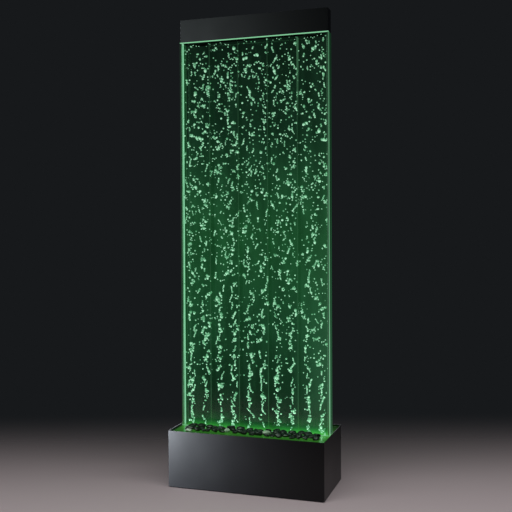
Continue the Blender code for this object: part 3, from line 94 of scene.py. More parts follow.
def feed(node, inputs):
    """Links or sets a node's inputs, given by name or in their order."""
    for name, value in inputs.items() if isinstance(inputs, dict) else enumerate(inputs):
        if isinstance(value, bpy.types.NodeSocket):
            node.id_data.links.new(value, node.inputs[name])
        else:
            node.inputs[name].default_value = value


def add_node(tree, kind, inputs=(), out=0, stops=(), **settings):
    """Adds a shader node with its settings, colour stops and inputs, and gives what it puts out."""
    made = tree.nodes.new("ShaderNode" + kind)
    for name, value in settings.items():
        setattr(made, name, value)
    for i, (where, shade) in enumerate(stops):
        if i == len(made.color_ramp.elements):
            made.color_ramp.elements.new(1.0)
        made.color_ramp.elements[i].position = where
        made.color_ramp.elements[i].color = linear(shade)
    feed(made, inputs)
    return made.outputs[out]


def new_finish(name, colour, roughness, metallic=0.0, ior=1.5):
    """A material, what adds a node to it, its shader and the place on the piece, in metres."""
    material = bpy.data.materials.new(name)
    material.use_nodes = True
    tree = material.node_tree
    shader = tree.nodes["Principled BSDF"]
    feed(shader, {
        "Base Color": linear(colour), "Roughness": roughness, "Metallic": metallic, "IOR": ior,
    })
    node = partial(add_node, tree)
    return material, node, shader, node("TexCoord", out="Object")


def mottle(node, place, size, detail, stretch=(1, 1, 1)):
    """Noise of a real size, drawn out along an axis where stretch is small."""
    drawn = node("VectorMath", (place, stretch), operation="MULTIPLY")
    return node("TexNoise", {"Vector": drawn, "Scale": 1 / size, "Detail": detail})


def relief(node, shader, place, size, depth, stretch=(1, 1, 1)):
    """A fine grain of a real size and depth."""
    grain = mottle(node, place, size, 3.0, stretch)
    feed(shader, {"Normal": node("Bump", {"Height": grain, "Distance": depth})})
    return grain


def sheen_patches(node, shader, place, size, low, high):
    """Roughness that drifts between two values over patches of a real size."""
    drift = mottle(node, place, size, 4.0)
    feed(shader, {"Roughness": node("MapRange", (drift, *NOISE, low, high))})
    return drift


def dress(names, material, edge=0.0):
    """Gives solids of the frame their finish and, with an edge, the small round of real edges."""
    for name in names:
        solid = frame["nodes"][name]
        solid.material_slots[0].material = material
        solid.data.shade_smooth()
        if edge:
            weld = solid.modifiers.new("weld", "WELD")
            weld.merge_threshold = WELD_REACH
            bevel = solid.modifiers.new("edge", "BEVEL")
            bevel.width = edge
            bevel.segments = 2
            bevel.limit_method = "ANGLE"
            bevel.angle_limit = ROUND_ABOVE
            solid.modifiers.new("flatten", "WEIGHTED_NORMAL")


COAT, node, shader, place = new_finish("powder_coated_steel", "#0e0f11", COAT_ROUGHNESS)
feed(shader, {"Specular IOR Level": 0.3})
relief(node, shader, place, COAT_PEEL, COAT_PEEL_DEPTH)
sheen_patches(node, shader, place, COAT_PATCH, COAT_ROUGHNESS - COAT_DRIFT, COAT_ROUGHNESS + COAT_DRIFT)
dress(["cabinet_shell"], COAT, SHEET_EDGE)

# Cabinet floor and its rivets
# Zinc plated steel, laid on the wrap's flange and riveted to it. The plating shows as a dull
# blue grey metal with soft clouds and fine rolling lines.

ZINC_CLOUD = 0.012
ZINC_ROLLING = 0.0012
RIVET_RADIUS = 0.0027
RIVET_RISE = 0.0012
RIVET_INSET = 0.013
RIVETS_ALONG = 5
RIVET_STEPS = 16
DOME_FLAT = 0.12

scene = bpy.context.scene


def as_mesh(name, form, flat_above=35):
    """A bmesh as a smooth mesh, with creases where faces meet at more than the angle."""
    mesh = bpy.data.meshes.new(name)
    form.to_mesh(mesh)
    form.free()
    mesh.shade_smooth()
    mesh.set_sharp_from_angle(angle=math.radians(flat_above))
    return mesh


def fit_piece(shape, material, body=PANEL, stands_for=()):
    """Puts a new mesh on the body it rides on, with its finish."""
    shape.materials.append(material)
    made = bpy.data.objects.new(shape.name, shape)
    scene.collection.objects.link(made)
    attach(made, body)
    if stands_for:
        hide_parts(*stands_for)


def loft(form, rings):
    """Adds to a bmesh the skin over a row of rings of points, and closes both ends."""
    steps = len(rings[0])
    for below, above in zip(rings, rings[1:]):
        for i in range(steps):
            j = (i + 1) % steps
            form.faces.new((below[i], below[j], above[j], above[i]))
    form.faces.new(rings[0][::-1])
    form.faces.new(rings[-1])


def towards(direction):
    """The turn that takes +Z to a direction."""
    return Vector(direction).to_track_quat("Z", "Y").to_matrix()


def ring(form, foot, turn, radius, height, steps):
    """Adds to a bmesh a ring of points about a turned axis through foot."""
    found = []
    for i in range(steps):
        angle = 2 * math.pi * i / steps
        local = Vector((radius * math.cos(angle), radius * math.sin(angle), height))
        found.append(form.verts.new(Vector(foot) + turn @ local))
    return found


def turn_into(form, profile, foot, direction, steps):
    """Adds to a bmesh a profile of (radius, height) points turned about an axis through foot."""
    turn = towards(direction)
    loft(form, [ring(form, foot, turn, radius, height, steps) for radius, height in profile])


def dome(radius, rise, steps=5):
    """A profile that starts under the ground and closes in a shallow dome with a small flat."""
    arc = [(radius * math.cos(a), rise * math.sin(a)) for a in np.linspace(0, math.pi / 2, steps)]
    return [(radius, -rise / 2)] + arc[:-1] + [(radius * DOME_FLAT, rise)]


def fit_rivets(name, feet, body=PANEL):
    """One mesh of like rivets, each with the middle of its head at one of the feet."""
    form = bmesh.new()
    for foot in feet:
        turn_into(form, dome(RIVET_RADIUS, RIVET_RISE), foot, (0, 0, 1), RIVET_STEPS)
    fit_piece(as_mesh(name, form), ZINC, body)


ZINC, node, shader, place = new_finish("zinc_plated_steel", "#a9adb3", 0.42, metallic=1.0)
relief(node, shader, place, ZINC_ROLLING, depth=0.00001, stretch=(0.05, 1, 1))
cloud = sheen_patches(node, shader, place, ZINC_CLOUD, low=0.34, high=0.50)
feed(shader, {
    "Base Color": node("ValToRGB", (cloud,), stops=((0.0, "#8f949b"), (1.0, "#b9bbbd"))),
})
dress(["bottom_plate"], ZINC, SHEET_EDGE)
plate_low, plate_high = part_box("bottom_plate")
feet = []
for i in range(RIVETS_ALONG):
    share = i / (RIVETS_ALONG - 1)
    x = plate_low.x + RIVET_INSET + share * (plate_high.x - plate_low.x - 2 * RIVET_INSET)
    for y in (plate_low.y + RIVET_INSET / 2, plate_high.y - RIVET_INSET / 2):
        feet.append((x, y, plate_high.z))
fit_rivets("floor_rivets", feet)

# Feet
# Four turned rubber pads pressed into the flange. Moulded rubber is matt and nearly black, and
# dust in its grain makes it a little paler. The grain is drawn coarser than it is, to show.

RUBBER_GRAIN = 0.0009

RUBBER, node, shader, place = new_finish("black_rubber", "#141414", 0.82)
dust = relief(node, shader, place, RUBBER_GRAIN, depth=0.00004)
feed(shader, {
    "Base Color": node("ValToRGB", (dust,), stops=((0.0, "#101010"), (1.0, "#232221"))),
})
dress([f"foot_{end}_{side}" for end in ("front", "rear") for side in ("left", "right")], RUBBER)

# Trestles
# Three moulded ABS saddles that carry the tank over the cabinet floor, each held by two pan head
# screws. Moulded ABS has an even satin sheen and a spark-eroded grain, drawn coarser to show.

ABS_GRAIN = 0.0006
ABS_PATCH = 0.03
TRESTLES = ("tank_stand_left", "tank_stand_middle", "tank_stand_right")
TRESTLE_SCREW_INSET = 0.008
TRESTLE_FLANGE = 0.006
SCREW_HEAD = 0.0034
SCREW_RISE = 0.0019
SCREW_CROSS = 0.0005
SCREW_CROSS_REACH = 0.0019
SCREW_CROSS_DEPTH = 0.6
SCREW_RINGS = 12
SCREW_STEPS = 32


def moulded_abs(name, colour):
    material, node, shader, place = new_finish(name, colour, 0.48, ior=1.53)
    relief(node, shader, place, ABS_GRAIN, depth=0.00002)
    sheen_patches(node, shader, place, ABS_PATCH, low=0.44, high=0.52)
    return material


def screw_into(form, foot, direction, head, rise):
    """Adds a pan head with its cross recess, its edge a little under the ground."""
    turn = towards(direction)
    profile = [(head, -rise / 3), (head, 0.0)]
    for i in range(1, SCREW_RINGS):
        share = 1 - i / SCREW_RINGS
        profile.append((head * share, rise * (1 - share ** 4)))
    rings = []
    for radius, height in profile:
        rings.append([])
        for i in range(SCREW_STEPS):
            angle = 2 * math.pi * (i + 0.5) / SCREW_STEPS
            x = radius * math.cos(angle)
            y = radius * math.sin(angle)
            in_cross = min(abs(x), abs(y)) < SCREW_CROSS and radius < SCREW_CROSS_REACH
            drop = rise * SCREW_CROSS_DEPTH if in_cross else 0
            point = Vector(foot) + turn @ Vector((x, y, height - drop))
            rings[-1].append(form.verts.new(point))
    loft(form, rings)


def fit_screws(name, feet, direction=(0, 0, 1), head=SCREW_HEAD, rise=SCREW_RISE):
    """One mesh of like screws, each with the middle of its head at one of the feet."""
    form = bmesh.new()
    for foot in feet:
        screw_into(form, foot, direction, head, rise)
    fit_piece(as_mesh(name, form), ZINC)


ABS_BLACK = moulded_abs("moulded_abs_black", "#1b1c1e")
dress(TRESTLES, ABS_BLACK, edge=0.0005)
feet = []
for name in TRESTLES:
    low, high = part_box(name)
    for y in (low.y + TRESTLE_SCREW_INSET, high.y - TRESTLE_SCREW_INSET):
        feet.append(((low.x + high.x) / 2, y, low.z + TRESTLE_FLANGE))
fit_screws("trestle_screws", feet)

# Light under the tank
# Two extruded aluminium channels, each with a row of green diodes behind a milky diffuser. The
# diffuser is brightest over each diode. The extrusion's draw lines run along it.

DRAW_LINE = 0.0005
DRAW_PATCH = 0.04
DIODE_PITCH = 0.0167
DIODE_DIP = 0.35
STRIP_LIGHT = 9.0


def light_up(shader, colour, strength):
    """The light that a surface gives off by itself."""
    feed(shader, {"Emission Color": colour, "Emission Strength": strength})


ALUMINIUM, node, shader, place = new_finish("extruded_aluminium", "#b4b6ba", 0.34, metallic=1.0)
relief(node, shader, place, DRAW_LINE, depth=0.00001, stretch=(0.02, 1, 1))
sheen_patches(node, shader, place, DRAW_PATCH, low=0.30, high=0.40)
dress(["led_channel_front", "led_channel_rear"], ALUMINIUM, edge=0.0002)
DIFFUSER, node, shader, place = new_finish("lit_milky_diffuser", "#c9f5cf", 0.45)
along = node("SeparateXYZ", (place,), out="X")
turn = node("Math", (along, 2 * math.pi / DIODE_PITCH), operation="MULTIPLY")
wave = node("Math", (turn,), operation="COSINE")
light = node("MapRange", (wave, -1.0, 1.0, STRIP_LIGHT * DIODE_DIP, STRIP_LIGHT))
light_up(shader, linear("#3fe05a"), light)
dress(["led_strip_front", "led_strip_rear"], DIFFUSER, edge=0.0004)

# Light driver and its lead
# A potted supply in a moulded case, screwed down by its two ears, with a lead that runs up to the
# channels. Soft PVC has a low, uneven shine.

PVC_GRAIN = 0.0008
PVC_PATCH = 0.012
EAR_REACH = 0.005
EAR_TOP = 0.002

PVC, node, shader, place = new_finish("soft_black_pvc", "#161616", 0.55, ior=1.52)
relief(node, shader, place, PVC_GRAIN, depth=0.00002, stretch=(1, 1, 0.3))
sheen_patches(node, shader, place, PVC_PATCH, low=0.48, high=0.62)
dress(["led_driver"], ABS_BLACK, edge=0.0006)
dress(["led_lead"], PVC)
driver_low, driver_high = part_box("led_driver")
driver_middle = (driver_low.y + driver_high.y) / 2
fit_screws("driver_screws", [
    (x, driver_middle, driver_low.z + EAR_TOP)
    for x in (driver_low.x + EAR_REACH, driver_high.x - EAR_REACH)
])

# Air rail
# A moulded pipe with ten nozzles that pass up through the tank's floor. It is the same black ABS
# as the trestles.

dress(["air_rail"], ABS_BLACK)

# Air pump
# A diaphragm pump on a rubber sole with four studs. The moulded lid is held by four screws and
# carries cooling ribs.

PUMP_EDGE = 0.0008
LID_SCREW_INSET = 0.011
LID_SCREW_HEAD = 0.0028
LID_SCREW_RISE = 0.0015
LID_RIBS = 9
LID_RIB_PITCH = 0.0075
LID_RIB_WIDTH = 0.0022
LID_RIB_LENGTH = 0.040
LID_RIB_RISE = 0.0009
LID_RIB_SUNK = 0.0002
LID_RIB_EDGE = 0.0005


def slab(form, low, high, edge):
    """Adds a box with its vertical and upper edges chamfered."""
    rings = []
    for inset, z in ((0, low[2]), (0, high[2] - edge), (edge, high[2])):
        x0 = low[0] + inset
        x1 = high[0] - inset
        y0 = low[1] + inset
        y1 = high[1] - inset
        outline = (
            (x0 + edge, y0), (x1 - edge, y0), (x1, y0 + edge), (x1, y1 - edge),
            (x1 - edge, y1), (x0 + edge, y1), (x0, y1 - edge), (x0, y0 + edge),
        )
        rings.append([form.verts.new((x, y, z)) for x, y in outline])
    loft(form, rings)


ABS_GREY = moulded_abs("moulded_abs_grey", "#8d9093")
dress(["air_pump_sole"], RUBBER)
dress(["air_pump_body"], ABS_BLACK, PUMP_EDGE)
dress(["air_pump_lid"], ABS_GREY, PUMP_EDGE)
lid_low, lid_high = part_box("air_pump_lid")
fit_screws("pump_lid_screws", [
    (x, y, lid_high.z)
    for x in (lid_low.x + LID_SCREW_INSET, lid_high.x - LID_SCREW_INSET)
    for y in (lid_low.y + LID_SCREW_INSET, lid_high.y - LID_SCREW_INSET)
], head=LID_SCREW_HEAD, rise=LID_SCREW_RISE)
lid_ribs = bmesh.new()
for i in range(LID_RIBS):
    x = (lid_low.x + lid_high.x) / 2 + (i - (LID_RIBS - 1) / 2) * LID_RIB_PITCH
    y = (lid_low.y + lid_high.y) / 2
    low = (x - LID_RIB_WIDTH / 2, y - LID_RIB_LENGTH / 2, lid_high.z - LID_RIB_SUNK)
    high = (x + LID_RIB_WIDTH / 2, y + LID_RIB_LENGTH / 2, lid_high.z + LID_RIB_RISE)
    slab(lid_ribs, low, high, LID_RIB_EDGE)
fit_piece(as_mesh("pump_lid_ribs", lid_ribs), ABS_GREY)

# Air line
# Clear silicone hose, 8 mm across, pushed on the pump's outlet, the check valve and the rail. A
# sprung steel clip holds each end. Silicone is milky and soft in its shine.

SILICONE_GRAIN = 0.0015
SILICONE_PATCH = 0.02
CLIP_WIRE = 0.0006
CLIP_SUNK = 0.6
CLIP_INSET = 0.004
RAIL_CLIP_DROP = 0.006


def wire_ring(form, centre, axis, radius, wire, steps=40, around=8):
    """Adds a ring of round wire about an axis."""
    turn = towards(axis)
    rings = []
    for k in range(around):
        across = 2 * math.pi * k / around
        reach = radius + wire * math.cos(across)
        rings.append(ring(form, centre, turn, reach, wire * math.sin(across), steps))
    for k in range(around):
        here = rings[k]
        after = rings[(k + 1) % around]
        for i in range(steps):
            j = (i + 1) % steps
            form.faces.new((here[i], here[j], after[j], after[i]))


SILICONE, node, shader, place = new_finish("clear_silicone", "#b9c4be", 0.32, ior=1.41)
feed(shader, {"Transmission Weight": 0.35, "Subsurface Weight": 0.2, "Subsurface Scale": 0.002})
relief(node, shader, place, SILICONE_GRAIN, depth=0.00002)
sheen_patches(node, shader, place, SILICONE_PATCH, low=0.26, high=0.38)
dress(["air_hose_lower", "air_hose_upper"], SILICONE)
dress(["check_valve"], ABS_GREY, edge=0.0005)
lower_low, lower_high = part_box("air_hose_lower")
upper_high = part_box("air_hose_upper")[1]
hose_x = (lower_low.x + lower_high.x) / 2
hose_z = (lower_low.z + lower_high.z) / 2
hose_radius = (lower_high.x - lower_low.x) / 2
clip_radius = hose_radius + CLIP_WIRE * CLIP_SUNK
rail_clip = Vector((upper_high.x - hose_radius, 0.0, upper_high.z - RAIL_CLIP_DROP))
clips = bmesh.new()
for y in (lower_high.y - CLIP_INSET, lower_low.y + CLIP_INSET, upper_high.y - CLIP_INSET):
    for shift in (-CLIP_WIRE, CLIP_WIRE):
        wire_ring(clips, (hose_x, y + shift, hose_z), (0, 1, 0), clip_radius, CLIP_WIRE)
for shift in (-CLIP_WIRE, CLIP_WIRE):
    wire_ring(clips, rail_clip + Vector((0, 0, shift)), (0, 0, 1), clip_radius, CLIP_WIRE)
fit_piece(as_mesh("hose_clips", clips), ZINC)

# Drain
# A silicone pipe from the tank's floor to a small ball valve of nickel plated brass, with a
# moulded lever on its stem. The plating is warm and bright, and a little smeared by hands.

NICKEL_GRAIN = 0.0007
NICKEL_PATCH = 0.006
LEVER_NUT = 0.0032
LEVER_NUT_RISE = 0.0022
LEVER_NUT_SUNK = 0.0005
LEVER_NUT_CHAMFER = 0.8

NICKEL, node, shader, place = new_finish("nickel_plated_brass", "#c3bba6", 0.22, metallic=1.0)
relief(node, shader, place, NICKEL_GRAIN, depth=0.00001)
sheen_patches(node, shader, place, NICKEL_PATCH, low=0.16, high=0.30)
dress(["drain_pipe"], SILICONE)
dress(["drain_valve"], NICKEL, edge=0.0003)
dress(["drain_lever"], ABS_BLACK, edge=0.0004)
lever_low, lever_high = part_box("drain_lever")
valve_low, valve_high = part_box("drain_valve")
lever_nut = bmesh.new()
nut_profile = [
    (LEVER_NUT, -LEVER_NUT_SUNK), (LEVER_NUT, LEVER_NUT_RISE * LEVER_NUT_CHAMFER),
    (LEVER_NUT * LEVER_NUT_CHAMFER, LEVER_NUT_RISE),
]
lever_axis = ((valve_low.x + valve_high.x) / 2, (lever_low.y + lever_high.y) / 2, lever_high.z)
turn_into(lever_nut, nut_profile, lever_axis, (0, 0, 1), steps=6)
lever_nut = as_mesh("lever_nut", lever_nut, flat_above=20)
fit_piece(lever_nut, ZINC, "drain_handle")

# Tank
# Cast acrylic, 5 mm sheets on a 10 mm floor, flame polished and glued. Light from below runs
# inside the sheets, leaves at their edges and at the glued seams, and fades as it climbs.

tank_low, tank_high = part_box("tank_front")
TANK_TOP = tank_high.z
TANK_HALF = tank_high.x
TANK_WALL = 0.005
ACRYLIC_IOR = 1.49
EDGE_GREEN = "#a6fcc2"
FOOT_GREEN = "#62d84e"
SCUFF_PATCH = 0.05
SCUFFS = (0.35, 0.75, 0.01, 0.06)
HAZE_CLOUD = 0.05
WALL_STREAK = 0.006
STREAK_STRETCH = (1, 1, 0.03)
HAZE_STRETCH = (1, 1, 0.22)
# Each gradient runs from one place in metres to another, between the two levels that follow.
GREEN_TURN = (0.21, 0.36)
CUT_END = (TANK_HALF - TANK_WALL, TANK_HALF - TANK_WALL + 0.0003, 0.0, 0.85)
END_ACROSS = (-TANK_HALF, TANK_HALF, 0.015, 0.03)
END_FOOT = (0.60, 0.20, 0.0, 0.05)
LIT_RIM = (TANK_TOP - 0.0034, TANK_TOP - 0.0029)
DECK_FRINGE = (0.234, 0.212, 0.0, 0.7071)
RIGHT_END = (0.12, TANK_HALF)
RIGHT_LOW = (1.2, 0.3, 0.006, 0.06)
SIDE_CUT = (0.25, TANK_TOP, 0.52, 0.26)
DIVIDER_EDGE = (-0.0196, -0.0208)
DIVIDER_LOW = (0.75, 0.20, 0.0, 0.22)
DIVIDER_FOOT = (0.28, 0.20, 0.0, 0.12)
DIVIDER_TOP = (1.42, TANK_TOP)
DIVIDER_FRONT = (0.004, -0.010)
WALL_NEAR = (-0.018, -0.008, 0.15, 0.86)
WALL_FAR = (0.004, -0.005, 0.08, 1.0)
WALL_FADE = (0.25, TANK_TOP, 1.15, 0.35)
WALL_OUTER = (-0.004, -0.012, 0.06, 0.44)
WALL_HIDDEN = (-0.3, -0.7, 1.0, 0.4)
WALL_REAR = (0.015, 0.020)
WALL_REAR_LOW = (1.2, 0.25, 0.05, 0.28)
HAZE_UP = (0.2, TANK_TOP)
HAZE_RIGHT = (0.10, TANK_HALF)
HAZE_RIGHT_LOW = (0.90, 0.35, 1.0, 1.7)


def show(shader, surface):
    """Shows a surface that is mixed of the shader and others."""
    feed(shader.id_data.nodes["Material Output"], {"Surface": surface})


def facing(node, axis):
    """How far a face looks along an axis, from -1 to 1."""
    return node("SeparateXYZ", (node("NewGeometry", out="Normal"),), out=axis)


def blend_glows(node, glows):
    """The mask and the strength that show several (cover, light) glows at once."""
    cover = 0.0
    light = 0.0
    for share, level in glows:
        cover = node("Math", (share, cover), operation="MAXIMUM")
        light = node("Math", (share, level, light), operation="MULTIPLY_ADD")
    least = node("Math", (cover, 0.001), operation="MAXIMUM")
    return cover, node("Math", (light, least), operation="DIVIDE")


def clear_acrylic(name, tint, glow):
    """See-through sheet with a polished shine. The glow function gives where it shines by itself."""
    material, node, shader, place = new_finish(name, "#08140c", 0.03, ior=ACRYLIC_IOR)
    x, y, z = node("SeparateXYZ", (place,), out=slice(3))
    mask, strength = glow(node, x, y, z)
    up = node("MapRange", (z, *GREEN_TURN))
    tone = node("ValToRGB", (up,), stops=((0.0, FOOT_GREEN), (1.0, EDGE_GREEN)))
    light_up(shader, tone, strength)
    clear = node("BsdfTransparent", (linear(tint),))
    polish = node("MapRange", (mottle(node, place, SCUFF_PATCH, 5.0), *SCUFFS))
    shine = node("BsdfGlossy", (linear("#ffffff"), polish))
    outer = node("Math", (1.0, node("NewGeometry", out="Backfacing")), operation="SUBTRACT")
    share = node("Math", (node("Fresnel", (ACRYLIC_IOR,)), outer), operation="MULTIPLY")
    sheet = node("MixShader", (share, clear, shine))
    lit = node("MixShader", (mask, sheet, shader.outputs[0]))
    show(shader, lit)
    return material


def face_glow(node, x, y, z):
    """The front sheet: bright cut ends, a lit top edge, a fringe over the deck, haze at the right."""
    aside = node("Math", (facing(node, "X"),), operation="ABSOLUTE")
    sideways = node("Math", (aside, 0.5), operation="GREATER_THAN")
    out = node("Math", (x,), operation="ABSOLUTE")
    across = node("MapRange", (x, *END_ACROSS))
    ends_light = node("Math", (across, node("MapRange", (z, *END_FOOT))), operation="ADD")
    fringe = node("Math", (node("MapRange", (z, *DECK_FRINGE)), 2.0), operation="POWER")
    near_end = node("Math", (node("MapRange", (x, *RIGHT_END)), 2.5), operation="POWER")
    low = node("MapRange", (z, *RIGHT_LOW))
    return blend_glows(node, (
        (node("MapRange", (out, *CUT_END)), ends_light),
        (node("MapRange", (z, *LIT_RIM)), 0.62),
        (fringe, 0.5),
        (node("Math", (near_end, low), operation="MULTIPLY"), 0.35),
        (sideways, node("MapRange", (z, *SIDE_CUT))),
    ))


def divider_glow(node, x, y, z):
    """A chamber's partition: its glued front edge is a faint lit line, stronger at foot and top."""
    low = node("MapRange", (z, *DIVIDER_LOW))
    height = node("Math", (low, 0.08), operation="MAXIMUM")
    right = node("Math", (x, 0.1), operation="GREATER_THAN")
    behind = node("MapRange", (y, *DIVIDER_FRONT, 0.0, right))
    return blend_glows(node, (
        (node("MapRange", (y, *DIVIDER_EDGE, 0.0, height)), 0.45),
        (node("MapRange", (z, *DIVIDER_FOOT)), 0.30),
        (node("MapRange", (z, *DIVIDER_TOP, 0.0, behind)), 0.13),
    ))


CLEAR = clear_acrylic("clear_cast_acrylic", "#f4fbf6", face_glow)
PARTITION = clear_acrylic("clear_partition_acrylic", "#eef8f1", divider_glow)
dress(["tank_front"], CLEAR)
dress([f"divider_{i}" for i in range(1, 5)], PARTITION)

# An end sheet is full of light: bright near the clear front sheet, dim near the dark back.
END_WALL, node, shader, place = new_finish("edge_lit_acrylic", "#0a2a15", 0.04, ior=ACRYLIC_IOR)
x, y, z = node("SeparateXYZ", (place,), out=slice(3))
inward = node("Math", (facing(node, "X"), x), operation="MULTIPLY")
inner = node("Math", (inward, -0.05), operation="LESS_THAN")
near = node("MapRange", (y, *WALL_NEAR))
inside = node("Math", (near, node("MapRange", (y, *WALL_FAR))), operation="MULTIPLY")
hidden = node("MapRange", (facing(node, "Y"), *WALL_HIDDEN))
front = node("Math", (node("MapRange", (y, *WALL_OUTER)), hidden), operation="MULTIPLY")
rear_low = node("MapRange", (z, *WALL_REAR_LOW))
rear = node("MapRange", (y, *WALL_REAR, 0.0, rear_low))
fade = node("MapRange", (z, *WALL_FADE))
outside = node("Math", (front, fade, rear), operation="MULTIPLY_ADD")
chosen = node("Mix", {"Factor": inner, "A": outside, "B": inside})
streaks = mottle(node, place, WALL_STREAK, 3.0, STREAK_STRETCH)
streaked = node("MapRange", (streaks, *NOISE, 0.85, 1.15))
light = node("Math", (chosen, streaked), operation="MULTIPLY")
tone = node("ValToRGB", (light,), stops=(
    (0.0, "#5ce08a"), (0.12, "#74ea9c"), (0.44, EDGE_GREEN), (0.72, "#c5fce2"),
))
light_up(shader, tone, light)
dress(["tank_left", "tank_right", "tank_bottom"], END_WALL)

# The back sheet is smoked. Light scattered in the water stands in front of it as a green haze.
SMOKED, node, shader, place = new_finish("smoked_acrylic", "#050a07", 0.05, ior=ACRYLIC_IOR)
x, y, z = node("SeparateXYZ", (place,), out=slice(3))
haze = node("ValToRGB", (node("MapRange", (z, *HAZE_UP)),), stops=(
    (0.0, "#4fb04a"), (0.009, "#2c8438"), (0.020, "#1e4b2c"), (0.05, "#182f21"), (0.26, "#1f442e"),
    (0.50, "#255334"), (0.62, "#224830"), (0.76, "#193325"), (1.0, "#111f18"),
))
cloud = mottle(node, place, HAZE_CLOUD, 4.0, HAZE_STRETCH)
depth = node("MapRange", (cloud, *NOISE, 0.75, 1.25))
right = node("MapRange", (x, *HAZE_RIGHT, 1.0, node("MapRange", (z, *HAZE_RIGHT_LOW))))
deep = node("Math", (depth, right), operation="MULTIPLY")
inner = node("Math", (facing(node, "Y"), -0.5), operation="LESS_THAN")
faced = node("MapRange", (inner, 0.0, 1.0, 0.09, 1.0))
light_up(shader, haze, node("Math", (deep, faced), operation="MULTIPLY"))
clear = node("BsdfTransparent", (linear("#ccd8d0"),))
dense = node("MapRange", (inner, 0.0, 1.0, 0.50, 0.97))
sheet = node("MixShader", (dense, clear, shader.outputs[0]))
show(shader, sheet)
dress(["tank_back"], SMOKED)

# Glued seams
# Solvent glue fills each corner with a thin bead that catches the light of both sheets.
# It sets uneven, so the light in it comes in small drops.

GLUE_DROP = 0.012
GLUE_FADE = (0.01, -0.01, 0.08, 0.42)
BEAD_SEED = 11
SEAM_BEAD = 0.0011
SEAM_SWELL = 0.12
SEAM_INSET = (0.0004, 0.0002)
SEAM_FOOT = 0.0105
SEAM_HEAD = 0.002


def bead(form, start, end, radius, rng, steps=60, around=8):
    """Adds a bead of glue between two points, a little uneven along its length."""
    run = Vector(end) - Vector(start)
    turn = towards(run)
    rings = []
    for i in range(steps + 1):
        swell = radius * (1 + SEAM_SWELL * rng.normal()) * (0.4 if i in (0, steps) else 1)
        rings.append(ring(form, Vector(start) + run * (i / steps), turn, swell, 0, around))
    loft(form, rings)


GLUE, node, shader, place = new_finish("lit_glue_bead", "#2c7f48", 0.12, ior=1.48)
spots = node("MapRange", (mottle(node, place, GLUE_DROP, 3.0), *NOISE, 0.8, 1.2))
fade = node("MapRange", (node("SeparateXYZ", (place,), out="Y"), *GLUE_FADE))
light_up(shader, linear(EDGE_GREEN), node("Math", (spots, fade), operation="MULTIPLY"))
beads = bmesh.new()
bead_rng = np.random.default_rng(BEAD_SEED)
seam_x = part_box("tank_right")[0].x
seam_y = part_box("tank_right")[1].y
for side in (-1, 1):
    for depth in (-1, 1):
        x = side * (seam_x - SEAM_INSET[0])
        y = depth * (seam_y - SEAM_INSET[1])
        foot = (x, y, tank_low.z + SEAM_FOOT)
        bead(beads, foot, (x, y, TANK_TOP - SEAM_HEAD), SEAM_BEAD, bead_rng)
fit_piece(as_mesh("tank_seams", beads, 60), GLUE)

# Water
# The tank is filled to just over the dividers' tops. Its face is kept a little restless by the
# bubbles that break there. The water itself stays clear; its face carries a faint painted green glow.

WATER_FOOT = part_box("tank_bottom")[1].z + 0.0003
WATER_TOP = 1.7315
WATER_HALF = Vector((0.2961, 0.0211, 0))
WAVE = 0.0011
WAVE_LENGTH = 0.022
WAVES_ACROSS = 150
WAVES_DEEP = 10
RIPPLE = 0.01
RIPPLE_DEPTH = 0.0004


def water_body():
    """A closed block of water whose upper face has small waves."""
    form = bmesh.new()
    tops = []
    for i in range(WAVES_ACROSS + 1):
        row = []
        for k in range(WAVES_DEEP + 1):
            x = WATER_HALF.x * (2 * i / WAVES_ACROSS - 1)
            y = WATER_HALF.y * (2 * k / WAVES_DEEP - 1)
            swell = noise.fractal(Vector((x / WAVE_LENGTH, y / WAVE_LENGTH, 3.7)), 0.8, 2.0, 3)
            row.append(form.verts.new((x, y, WATER_TOP + WAVE * swell)))
        tops.append(row)
    for i in range(WAVES_ACROSS):
        for k in range(WAVES_DEEP):
            form.faces.new((tops[i][k], tops[i + 1][k], tops[i + 1][k + 1], tops[i][k + 1]))
    rim = [row[0] for row in tops]
    rim += tops[-1][1:]
    rim += [row[-1] for row in reversed(tops[:-1])]
    rim += tops[0][-2:0:-1]
    feet = [form.verts.new((v.co.x, v.co.y, WATER_FOOT)) for v in rim]
    for i in range(len(rim)):
        j = (i + 1) % len(rim)
        form.faces.new((feet[i], feet[j], rim[j], rim[i]))
    form.faces.new(feet[::-1])
    return form


WATER, node, shader, place = new_finish("water", "#0a2012", 0.02, ior=1.33)
ripple = mottle(node, place, RIPPLE, 2.0)
feed(shader, {"Normal": node("Bump", {"Height": ripple, "Distance": RIPPLE_DEPTH})})
# Painted light: the water's upper face glows a faint green, for the light scattered in the water.
light_up(shader, linear(EDGE_GREEN), 0.10)
top = node("Math", (facing(node, "Z"), 0.5), operation="GREATER_THAN")
half_seen = node("Math", (top, 0.5), operation="MULTIPLY")
clear = node("BsdfTransparent", (linear("#eefaf2"),))
skin = node("MixShader", (half_seen, clear, shader.outputs[0]))
show(shader, skin)
fit_piece(as_mesh("water", water_body(), 40), WATER)

# Bubbles
# Air leaves ten nozzles as a thin string, gathers in clumps and wisps and spreads as it climbs, so
# that the columns dissolve near the top. Each bubble catches the green light on its underside.

